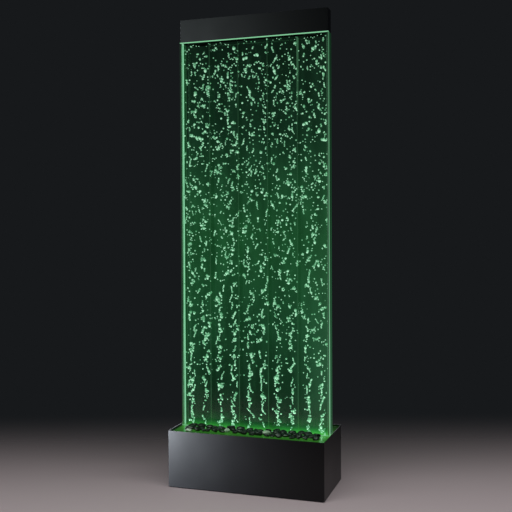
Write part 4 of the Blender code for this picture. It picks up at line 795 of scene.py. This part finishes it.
BUBBLE_SEED = 20
NOZZLE_OFFSET = 0.027
NOZZLE_RISE = 0.009
WALL_GAP = 0.0006
WATER_GAP = 0.001
FOOT_GAP = 0.005
QUIET_TOP = 0.009
BUBBLE_SPREAD = 0.22
BUBBLE_LIMITS = (0.0014, 0.0062)
WOBBLY_FROM = 0.0040
STALK_RISE = (0.02, 0.06)
STALK_SWAY = (0.0014, 0.002)
STALK_STEP = (0.9, 1.5)
OPEN_BY = 0.55
LOW_FORM = (0.014, 0.040)
HIGH_FORM = (0.008, 0.024)
FORM_STEP = (0.60, 1.0)
FORM_GAP = (0.007, 0.009)
FORM_DEPTH = 0.006
FORM_LEAN = 0.35
COLUMN_WIDTH = (0.0022, 0.020)
CLUMP_BUBBLE = 0.0033
CLUMP_COUNT = (5, 18, 10)
CLUMP_REACH = 0.28
CLUMP_SWAY = (0.0042, 0.004)
WISP_SHARE = (0.40, 0.25)
WISP_BUBBLE = 0.0025
WISP_STEP = 0.0026
WISP_BEND = 9
WISP_SWELL = (0.85, 1.3)
WISP_SWAY = (0.0007, 0.0015)
SINGLES = 200
SINGLE_BUBBLE = 0.0027
SINGLE_WIDTH = (0.006, 0.026)
SINGLE_FOOT = 0.08
SINGLE_REACH = 0.083
FROTH = 4
FROTH_BUBBLE = 0.0021
FROTH_SPREAD = 0.004
FROTH_CEILING = 0.0065
LIT_UNDER = (0.85, -0.55, 0.25, 1.0)
LIT_FRONT = (0.1, -0.8, 0.35, 1.0)
LIT_OWN = (0.0, 1.0, 0.55, 1.30)
LIT_CLIMB = (0.21, TANK_TOP, 1.45, 1.04)
LIT_FOOT = (0.21, 0.42, 1.2, 1.0)


def ball(cuts):
    form = bmesh.new()
    bmesh.ops.create_icosphere(form, subdivisions=cuts, radius=1.0)
    points = np.array([v.co[:] for v in form.verts])
    faces = np.array([[v.index for v in face.verts] for face in form.faces])
    form.free()
    return points, faces


def column_plan(rng, middle, low, high):
    """The centres and sizes of one column's bubbles, from its nozzle to the water's face."""
    found = []
    depth = WATER_HALF.y - WATER_GAP
    rise = WATER_TOP - WATER_FOOT

    def put(x, y, z, median, ceiling=WATER_TOP - QUIET_TOP):
        size = np.clip(median * np.exp(rng.normal(0, BUBBLE_SPREAD)), *BUBBLE_LIMITS)
        x = low + size + abs(x - low - size)
        x = high - size - abs(high - size - x)
        y = np.clip(y, -depth + size, depth - size)
        if WATER_FOOT + FOOT_GAP + size < z < ceiling - size:
            found.append((x, y, z, size))
        return size

    z = WATER_FOOT + NOZZLE_RISE
    stalk = z + rng.uniform(*STALK_RISE)
    while z < stalk:
        x = middle + rng.normal(0, STALK_SWAY[0])
        step = put(x, rng.normal(0, STALK_SWAY[1]), z, CLUMP_BUBBLE)
        z += step * rng.uniform(*STALK_STEP)
    while z < WATER_TOP:
        open_up = min(1, (z - WATER_FOOT) / rise / OPEN_BY)
        shortest, longest = np.array(LOW_FORM) * (1 - open_up) + np.array(HIGH_FORM) * open_up
        length = rng.uniform(shortest, longest)
        width = COLUMN_WIDTH[0] + (COLUMN_WIDTH[1] - COLUMN_WIDTH[0]) * open_up ** 1.3
        x0 = middle + rng.normal(0, width)
        y0 = rng.normal(0, FORM_DEPTH)
        lean = rng.normal(0, FORM_LEAN)
        if rng.random() < WISP_SHARE[0] + WISP_SHARE[1] * open_up:
            bend = rng.normal(0, WISP_BEND)
            count = max(3, int(length / WISP_STEP))
            swell = rng.uniform(*WISP_SWELL)
            for i in range(count):
                way = ((i + 0.5) / count - 0.5) * length
                x = x0 + lean * way + bend * way * way + rng.normal(0, WISP_SWAY[0])
                y = y0 + rng.normal(0, WISP_SWAY[1])
                put(x, y, z + length / 2 + way, WISP_BUBBLE * swell)
        else:
            least, most, fewer = CLUMP_COUNT
            count = rng.integers(least, most - int(fewer * open_up))
            for _ in range(count):
                way = rng.normal(0, CLUMP_REACH) * length
                x = x0 + lean * way + rng.normal(0, CLUMP_SWAY[0])
                y = y0 + rng.normal(0, CLUMP_SWAY[1])
                put(x, y, z + length / 2 + way, CLUMP_BUBBLE)
        z += length * rng.uniform(*FORM_STEP) + rng.exponential(FORM_GAP[0] + FORM_GAP[1] * open_up)
    for _ in range(SINGLES):
        share = rng.random() ** 0.75
        width = SINGLE_WIDTH[0] + SINGLE_WIDTH[1] * min(1, share / 0.5)
        z = WATER_FOOT + SINGLE_FOOT + share * (rise - SINGLE_REACH)
        put(middle + rng.normal(0, width), rng.uniform(-depth, depth), z, SINGLE_BUBBLE)
    for _ in range(FROTH):
        z = WATER_TOP + rng.uniform(-FROTH_SPREAD, FROTH_SPREAD)
        x = rng.uniform(low, high)
        put(x, rng.uniform(-depth, depth), z, FROTH_BUBBLE, WATER_TOP + FROTH_CEILING)
    return found


def column_mesh(name, rng, plan):
    """One mesh of closed, squashed and tilted skins, the large ones also wobbly."""
    plain = ball(1)
    fine = ball(2)
    points = []
    faces = []
    start = 0
    for x, y, z, size in plan:
        shape, corners = fine if size > WOBBLY_FROM else plain
        squash = (1 + rng.uniform(-0.1, 0.15), 1 + rng.uniform(0, 0.15), rng.uniform(0.8, 1.5))
        skin = shape * np.array(squash) * size
        if size > WOBBLY_FROM:
            waves = rng.normal(0, 2.2, 3)
            skin = skin * (1 + 0.10 * np.sin(shape @ waves + rng.uniform(0, 6)))[:, None]
        tilt = rng.normal(0, 0.35)
        turn = rng.uniform(0, 2 * math.pi)
        spin = np.array(Matrix.Rotation(turn, 3, "Z") @ Matrix.Rotation(tilt, 3, "X"))
        points.append(skin @ spin.T + (x, y, z))
        faces.append(corners + start)
        start += len(shape)
    mesh = bpy.data.meshes.new(name)
    mesh.from_pydata(np.concatenate(points).tolist(), [], np.concatenate(faces).tolist())
    mesh.shade_smooth()
    return mesh


BUBBLE, node, shader, place = new_finish("lit_bubble_skin", "#3a8f55", 0.08, ior=1.33)
z = node("SeparateXYZ", (place,), out="Z")
under = node("MapRange", (facing(node, "Z"), *LIT_UNDER))
front = node("MapRange", (facing(node, "Y"), *LIT_FRONT))
own = node("MapRange", (node("NewGeometry", out="Random Per Island"), *LIT_OWN))
seen = node("Math", (under, front), operation="MULTIPLY")
light = node("Math", (seen, own), operation="MULTIPLY")
tone = node("ValToRGB", (light,), stops=((0.0, "#2c7446"), (0.35, "#7ac298"), (1.0, "#cdf0dc")))
climb = node("MapRange", (z, *LIT_CLIMB))
fade = node("Math", (climb, node("MapRange", (z, *LIT_FOOT))), operation="MULTIPLY")
bright = node("MapRange", (light, 0.0, 1.0, 0.25, 1.0))
light_up(shader, tone, node("Math", (fade, bright), operation="MULTIPLY"))
walls = [-seam_x]
for i in range(1, 5):
    low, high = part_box(f"divider_{i}")
    walls += [low.x, high.x]
walls.append(seam_x)
for chamber in range(5):
    low, high = walls[2 * chamber:2 * chamber + 2]
    for k, side in enumerate((-1, 1)):
        rng = np.random.default_rng(BUBBLE_SEED + 2 * chamber + k)
        middle = (low + high) / 2 + side * NOZZLE_OFFSET
        plan = column_plan(rng, middle, low + WALL_GAP, high - WALL_GAP)
        fit_piece(column_mesh(f"bubbles_{2 * chamber + k + 1}", rng, plan), BUBBLE)

# Deck
# Gloss black acrylic laid in the cabinet's rim. It mirrors the tank and shows fine wiping marks. The
# green light that leaves the tank's foot is painted on it, as a glow that fades to the front and rear.

WIPE_MARK = 0.004
WIPE_STRETCH = (0.25, 1, 1)
SPILL_FRONT = (-0.15, -0.02, 0.4, 1.0)
SPILL_REAR = (0.145, 0.024, 0.05, 0.42)
SPILL_LEFT = (-0.303, -0.290)
SPILL_RIGHT = (0.318, 0.300, 0.0, 0.38)
SEAL_RADIUS = 0.0012
SEAL_OUT = 0.0003
SEAL_LIFT = 0.0004
SEAL_STEPS = 80

DECK, node, shader, place = new_finish("polished_black_acrylic", "#060707", 0.06, ior=1.7)
x, y, z = node("SeparateXYZ", (place,), out=slice(3))
marks = mottle(node, place, WIPE_MARK, 6.0, WIPE_STRETCH)
# Painted light: a green glow on the deck, strongest at the tank's foot, fading to the front and rear.
under_tank = node("Math", (y, 0.022), operation="LESS_THAN")
behind = node("Math", (node("MapRange", (y, *SPILL_REAR)), under_tank), operation="MAXIMUM")
before = node("MapRange", (y, *SPILL_FRONT))
spill = node("Math", (before, behind), operation="MULTIPLY")
width = node("MapRange", (x, *SPILL_LEFT, 0.0, node("MapRange", (x, *SPILL_RIGHT))))
feed(shader, {
    "Roughness": node("MapRange", (marks, 0.35, 0.7, 0.14, 0.24)),
    "Coat Weight": 1.0, "Coat Roughness": 0.16,
})
light_up(shader, linear(FOOT_GREEN), node("Math", (spill, width), operation="MULTIPLY"))
dress(["deck"], DECK, edge=0.0003)
deck_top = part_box("deck")[1].z
seal = bmesh.new()
seal_x = TANK_HALF + SEAL_OUT
seal_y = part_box("tank_back")[1].y + SEAL_OUT
seal_z = deck_top + SEAL_LIFT
corners = [(-seal_x, -seal_y, seal_z), (seal_x, -seal_y, seal_z), (seal_x, seal_y, seal_z),
           (-seal_x, seal_y, seal_z)]
for i in range(4):
    bead(seal, corners[i], corners[(i + 1) % 4], SEAL_RADIUS, bead_rng, SEAL_STEPS)
fit_piece(as_mesh("deck_seal", seal, 60), GLUE)

# Pebbles
# River pebbles, loose on the deck before the tank: basalt worn to a dark satin, and a few of pale
# greenish quartz. Ten stand where the solids are. The rest fill the gaps.

STONE_BAND = 0.011
STONE_SPECK = 0.0022
STONE_PIT = 0.0012
STONE_SQUARE = 0.86
STONE_BASE = 0.93
STONE_DENTS = ((0.9, 0.24), (2.6, 0.08), (9.0, 0.008))
PEBBLE_SEED = 5
PEBBLE_LIFT = 0.0002
SOLID_SHRINK = 0.98
PALE_SOLIDS = ("pebble_2", "pebble_4", "pebble_7")
SEEN_PEBBLES = (
    (-0.207, -0.055, 0.040), (-0.168, -0.062, 0.036), (-0.083, -0.052, 0.038), (0.037, -0.055, 0.026),
    (0.164, -0.057, 0.036), (0.201, -0.090, 0.026), (0.226, -0.058, 0.040), (0.263, -0.060, 0.030),
    (-0.045, -0.052, 0.034), (-0.005, -0.052, 0.030),
)
SEEN_WIDTH = 0.38
SEEN_HEIGHT = 0.25
BAND_X = (-0.258, 0.272)
BAND_Y = (-0.108, -0.044)
SMALL_PEBBLES = 46
SMALL_LENGTH = (0.024, 0.044)
SMALL_WIDTH = (0.30, 0.42)
SMALL_HEIGHT = (0.18, 0.27)
SMALL_REACH = 0.36
PEBBLE_TRIES = 4000
OVERLAP = 0.92


def worn_stone(name, low, high, speck, roughness):
    """Stone in two tones with specks, a fine pitted skin and a partly wet sheen."""
    material, node, shader, place = new_finish(name, low, roughness, ior=1.55)
    body = mottle(node, place, STONE_BAND, 6.0)
    spots = node("TexVoronoi", {"Vector": place, "Scale": 1 / STONE_SPECK})
    tone = node("ValToRGB", (body,), stops=((0.35, low), (0.65, high)))
    grains = node("MapRange", (spots, 0.16, 0.10, 0.0, 0.7))
    pits = mottle(node, place, STONE_PIT, 5.0)
    specked = {"Factor": grains, 6: tone, 7: linear(speck)}
    feed(shader, {
        "Base Color": node("Mix", specked, out=2, data_type="RGBA"),
        "Normal": node("Bump", {"Height": pits, "Distance": 0.00012}),
        "Roughness": node("MapRange", (body, *NOISE, roughness - 0.08, roughness + 0.10)),
    })
    return material


def pebble_mesh(name, centre, half, turn, rng, lean):
    """A worn stone: a flattened ball, squarer than an ellipsoid, with broad dents."""
    form = bmesh.new()
    bmesh.ops.create_icosphere(form, subdivisions=4, radius=1.0)
    seat = Vector((rng.uniform(0, 50), rng.uniform(0, 50), rng.uniform(0, 50)))
    tilt = Matrix.Rotation(lean[0], 3, "X") @ Matrix.Rotation(lean[1], 3, "Y")
    spin = Matrix.Rotation(turn, 3, "Z") @ tilt
    for vertex in form.verts:
        way = vertex.co.copy()
        square = Vector([math.copysign(abs(c) ** STONE_SQUARE, c) for c in way])
        dents = sum(noise.noise(way * pace + seat) * depth for pace, depth in STONE_DENTS)
        skin = square * (STONE_BASE + dents)
        vertex.co = spin @ Vector((skin.x * half[0], skin.y * half[1], skin.z * half[2]))
    low = min(v.co.z for v in form.verts)
    for vertex in form.verts:
        vertex.co += Vector((centre[0], centre[1], centre[2] - low))
    return as_mesh(name, form, 80)


BASALT = worn_stone("worn_basalt", "#0c0e0d", "#1f2320", "#474d48", 0.36)
QUARTZ = worn_stone("worn_pale_quartz", "#a9b8a6", "#d3d9cd", "#7f9582", 0.42)
pebble_rng = np.random.default_rng(PEBBLE_SEED)
taken = []


def lay_pebble(name, x, y, half, turn, lean=(0.0, 0.0), pale=False, stands_for=()):
    """Lays a stone on the deck, and keeps its place so that the next ones clear it."""
    mesh = pebble_mesh(name, (x, y, deck_top + PEBBLE_LIFT), half, turn, pebble_rng, lean)
    fit_piece(mesh, QUARTZ if pale else BASALT, stands_for=stands_for)
    taken.append((x, y, half[0], half[1]))


def room_for(x, y, reach):
    """True if a stone of that mean radius clears every stone that is there."""
    return all(
        math.hypot((x - other_x) / (wide + reach), (y - other_y) / (deep + reach)) >= OVERLAP
        for other_x, other_y, wide, deep in taken
    )


for i in range(1, 11):
    solid = f"pebble_{i}"
    low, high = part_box(solid)
    half = (high - low) / 2
    half = (half.x * SOLID_SHRINK, half.y * SOLID_SHRINK, half.z)
    turn = pebble_rng.uniform(-0.2, 0.2)
    lay_pebble(f"river_{solid}", (low.x + high.x) / 2, (low.y + high.y) / 2, half, turn,
               pale=solid in PALE_SOLIDS, stands_for=(solid,))
for i, (x, y, length) in enumerate(SEEN_PEBBLES, 1):
    turn = pebble_rng.uniform(-0.4, 0.4)
    half = (length / 2, length * SEEN_WIDTH, length * SEEN_HEIGHT)
    lay_pebble(f"rear_pebble_{i}", x, y, half, turn)
laid = 0
for attempt in range(PEBBLE_TRIES):
    if laid == SMALL_PEBBLES:
        break
    size = pebble_rng.uniform(*SMALL_LENGTH) * (1 - 0.5 * attempt / PEBBLE_TRIES)
    x = pebble_rng.uniform(*BAND_X)
    y = pebble_rng.uniform(*BAND_Y)
    half = (size / 2, size * pebble_rng.uniform(*SMALL_WIDTH), size * pebble_rng.uniform(*SMALL_HEIGHT))
    if not room_for(x, y, size * SMALL_REACH):
        continue
    laid += 1
    turn = pebble_rng.uniform(-0.5, 0.5)
    lean = pebble_rng.normal(0, 0.2, 2)
    lay_pebble(f"small_pebble_{laid}", x, y, half, turn, lean)

# Connections at the rear
# A moulded panel let into the rear wall, with the mains inlet and two rocker switches. Each
# rocker carries a moulded dot and ring, and two screws hold the panel.

PANEL_SCREW_RISE = 0.047
PANEL_SCREW_SEAT = 0.0015
PANEL_SCREW_HEAD = 0.0026
PANEL_SCREW_DOME = 0.0016
DOT_RADIUS = 0.0009
DOT_RISE = 0.0003
DOT_SEAT = Vector((0, -0.00078, -0.0052))
DOT_FACING = (0, 0.939, 0.344)
RING_RADIUS = 0.0012
RING_WIRE = 0.00025
RING_SEAT = Vector((0, -0.00240, 0.0040))
RING_FACING = (0, 0.997, -0.072)
MARK_STEPS = 16
RING_STEPS = 24
HOUSINGS = ("switch_housing_air", "switch_housing_light")
ROCKERS = ("switch_rocker_air", "switch_rocker_light")

dress(["connection_panel"], ABS_BLACK, edge=0.0005)
dress(["mains_inlet", *HOUSINGS], ABS_BLACK, edge=0.0003)
dress(ROCKERS, moulded_abs("polished_abs_black", "#121315"), edge=0.0002)
panel_low, panel_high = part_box("connection_panel")
panel_x = (panel_low.x + panel_high.x) / 2
panel_z = (panel_low.z + panel_high.z) / 2
fit_screws("panel_screws", [
    (panel_x, panel_low.y + PANEL_SCREW_SEAT, panel_z + side * PANEL_SCREW_RISE) for side in (-1, 1)
], direction=(0, 1, 0), head=PANEL_SCREW_HEAD, rise=PANEL_SCREW_DOME)
for name, body in (("air", "air_switch"), ("light", "light_switch")):
    low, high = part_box(f"switch_rocker_{name}")
    middle = Vector(((low.x + high.x) / 2, high.y, (low.z + high.z) / 2))
    marks = bmesh.new()
    turn_into(marks, dome(DOT_RADIUS, DOT_RISE), middle + DOT_SEAT, DOT_FACING, MARK_STEPS)
    wire_ring(marks, middle + RING_SEAT, RING_FACING, RING_RADIUS, RING_WIRE, RING_STEPS)
    finish = moulded_abs(f"moulded_abs_mark_{name}", "#d7d9da")
    fit_piece(as_mesh(f"rocker_marks_{name}", marks), finish, body)

# Service door
# The same coated sheet as the cabinet, with pressed louvres, hung on two steel pins. A rubber
# grommet lines the finger hole, and a magnet holds the steel return.

GROMMET_HOLE = (-0.156, 0.110)
GROMMET_SEAT = 0.0012
GROMMET_RADIUS = 0.0123
GROMMET_WIRE = 0.0012
GROMMET_STEPS = 48
GROMMET_AROUND = 12

dress(["service_door"], COAT, edge=0.0003)
HINGES = [f"hinge_{part}_{level}" for part in ("bracket", "pin") for level in ("upper", "lower")]
dress(HINGES, ZINC, edge=0.0002)
dress(["magnet_catch"], ABS_BLACK, edge=0.0005)
hole = (GROMMET_HOLE[0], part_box("service_door")[1].y - GROMMET_SEAT, GROMMET_HOLE[1])
grommet = bmesh.new()
grommet_radius = GROMMET_RADIUS - GROMMET_WIRE * 0.6
wire_ring(grommet, hole, (0, 1, 0), grommet_radius, GROMMET_WIRE, GROMMET_STEPS, GROMMET_AROUND)
fit_piece(as_mesh("finger_grommet", grommet), RUBBER, "door")

# Cap
# A folded and coated steel box with eight vents at the rear. Two moulded saddles inside it, each
# held by two rivets, drop into the tank's mouth.

RIVET_SPACING = 0.045

dress(["cap_shell"], COAT, SHEET_EDGE)
dress(["cap_saddle_left", "cap_saddle_right"], ABS_BLACK, edge=0.0004)
feet = []
for side in ("left", "right"):
    low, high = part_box(f"cap_saddle_{side}")
    for step in (-1, 1):
        feet.append(((low.x + high.x) / 2 + step * RIVET_SPACING / 2, 0.0, high.z))
fit_rivets("saddle_rivets", feet, "cap")

# Floor and light
# A plain pale floor, matt. Its material fades it out into the dark studio with distance from the
# panel, a painted fall-off of light. One long soft light over it fades towards the rear. Soft boxes
# give the satin steel its gradient, and weak ones reach the sides and rear.

FLOOR_SIZE = 9.0
FLOOR_GRAIN = 0.012
FLOOR_MIDDLE = (0.17, -0.197, 0.0)
FLOOR_SHAPE = (0.2, 1.0, 1.0)
FLOOR_PAINTED_FALLOFF = (0.1, 1.5)
FLOOR_TURN = math.radians(18.2)
STUDIO_DARK = "#17191b"
SHEETS = ("tank_front", "tank_back", "tank_left", "tank_right")
REAR_PARTS = ("service_door", "connection_panel", "mains_inlet", "panel_screws", *HOUSINGS, *ROCKERS)

FLOOR, node, shader, place = new_finish("matt_pale_floor", "#c9bfba", 0.75)
relief(node, shader, place, FLOOR_GRAIN, depth=0.0002)
# Painted fall-off of light: the floor fades out to the dark studio with its distance from the panel.
away = node("VectorMath", (place, FLOOR_MIDDLE), operation="SUBTRACT")
turned = node("VectorRotate", {"Vector": away, "Angle": -FLOOR_TURN}, rotation_type="Z_AXIS")
scaled = node("VectorMath", (turned, FLOOR_SHAPE), operation="MULTIPLY")
reach = node("VectorMath", (scaled,), out="Value", operation="LENGTH")
fade = node("MapRange", (reach, *FLOOR_PAINTED_FALLOFF), interpolation_type="SMOOTHSTEP")
shown = node("MixShader", (fade, shader.outputs[0], node("BsdfTransparent")))
show(shader, shown)
floor_form = bmesh.new()
bmesh.ops.create_grid(floor_form, x_segments=8, y_segments=8, size=FLOOR_SIZE)
floor_mesh = as_mesh("studio_floor", floor_form)
floor_mesh.materials.append(FLOOR)
floor = bpy.data.objects.new("studio_floor", floor_mesh)
scene.collection.objects.link(floor)


def soft_light(name, place, aim, size, watts, colour, things, spread=180):
    """An area light of a width and a height in metres, aimed at a point and kept to some things."""
    lamp = bpy.data.lights.new(name, "AREA")
    lamp.shape = "RECTANGLE"
    lamp.size, lamp.size_y = size
    lamp.energy = watts
    lamp.spread = math.radians(spread)
    lamp.color = linear(colour)[:3]
    made = bpy.data.objects.new(name, lamp)
    made.location = place
    made.rotation_mode = "QUATERNION"
    made.rotation_quaternion = (Vector(aim) - Vector(place)).to_track_quat("-Z", "Y")
    made.visible_camera = False
    scene.collection.objects.link(made)
    reached = bpy.data.collections.new(name)
    for thing in things:
        reached.objects.link(thing)
    made.light_linking.receiver_collection = reached
    return made


meshes = [thing for thing in bpy.data.objects if thing.type == "MESH"]
panel = [thing for thing in meshes if thing not in (floor, frame["nodes"]["deck"])]
case = [thing for thing in panel if thing.name not in SHEETS]
rear = [bpy.data.objects[name] for name in REAR_PARTS]
cabinet = [frame["nodes"]["cabinet_shell"]]
cap = [frame["nodes"]["cap_shell"]]
pebbles = [thing for thing in meshes if "pebble" in thing.name]
lamp = soft_light("floor_light", (0.5, -1.0, 1.6), (0.5, -1.0, 0), (7.0, 0.5), 52, "#fbf6ff", [floor])
lamp.rotation_quaternion = Quaternion((0, 0, 1), FLOOR_TURN) @ lamp.rotation_quaternion
soft_light(
    "cabinet_light", (-0.82, -0.78, 0.23), (-0.453, -0.145, 0.12), (0.35, 0.35), 7.4, "#e6edf6",
    cabinet, spread=58,
)
soft_light("cap_light", (-1.56, -2.75, 2.4), (-0.15, 0, 1.78), (0.8, 0.6), 12, "#e0eef0", cap)
soft_light("pebble_light", (-0.3, -0.9, 1.3), (0, -0.08, 0.22), (1.2, 0.6), 12, "#dfffe4", pebbles)
soft_light("rear_light", (-1.3, 2.3, 1.6), (0, 0, 0.5), (2.4, 2.4), 75, "#eef1ff", case)
soft_light("rear_right_light", (1.5, 2.2, 1.5), (0, 0.1, 0.6), (1.8, 2.2), 70, "#eef1ff", rear)
soft_light("side_light", (2.9, 1.3, 0.8), (0, 0.1, 0.4), (0.8, 1.4), 8, "#eef1ff", case)
soft_light("top_light", (0.2, 0.4, 3.2), (0, 0, 0.5), (1.5, 0.8), 8, "#eef1ff", panel)
world = scene.world or bpy.data.worlds.new("studio")
scene.world = world
world.use_nodes = True
feed(world.node_tree.nodes["Background"], {"Color": linear(STUDIO_DARK), "Strength": 1.0})

# Camera
# Set from the photo: its place, aim and lens come from the corners of the cabinet, tank and cap.
# It stands to the right, at about half of the panel's height, and everything is in focus.

LENS = 56.72
SENSOR = 36
SHIFT_UP = -0.0195
CAMERA_PLACE = (0.988, -2.997, 0.998)
CAMERA_RIGHT = Vector((0.95018, 0.31168, -0.00466))
CAMERA_UP = Vector((-0.00191, 0.02074, 0.99978))
CAMERA_AHEAD = Vector((-0.31171, 0.94996, -0.02031))

camera = bpy.data.objects.new("camera", bpy.data.cameras.new("camera"))
camera.data.lens = LENS
camera.data.sensor_width = SENSOR
camera.data.shift_y = SHIFT_UP
camera.data.clip_start = 0.05
camera.data.dof.use_dof = False
turned = Matrix((CAMERA_RIGHT, CAMERA_UP, -CAMERA_AHEAD)).transposed().to_4x4()
camera.matrix_world = Matrix.Translation(CAMERA_PLACE) @ turned
scene.collection.objects.link(camera)
scene.camera = camera
scene.view_settings.view_transform = "Standard"
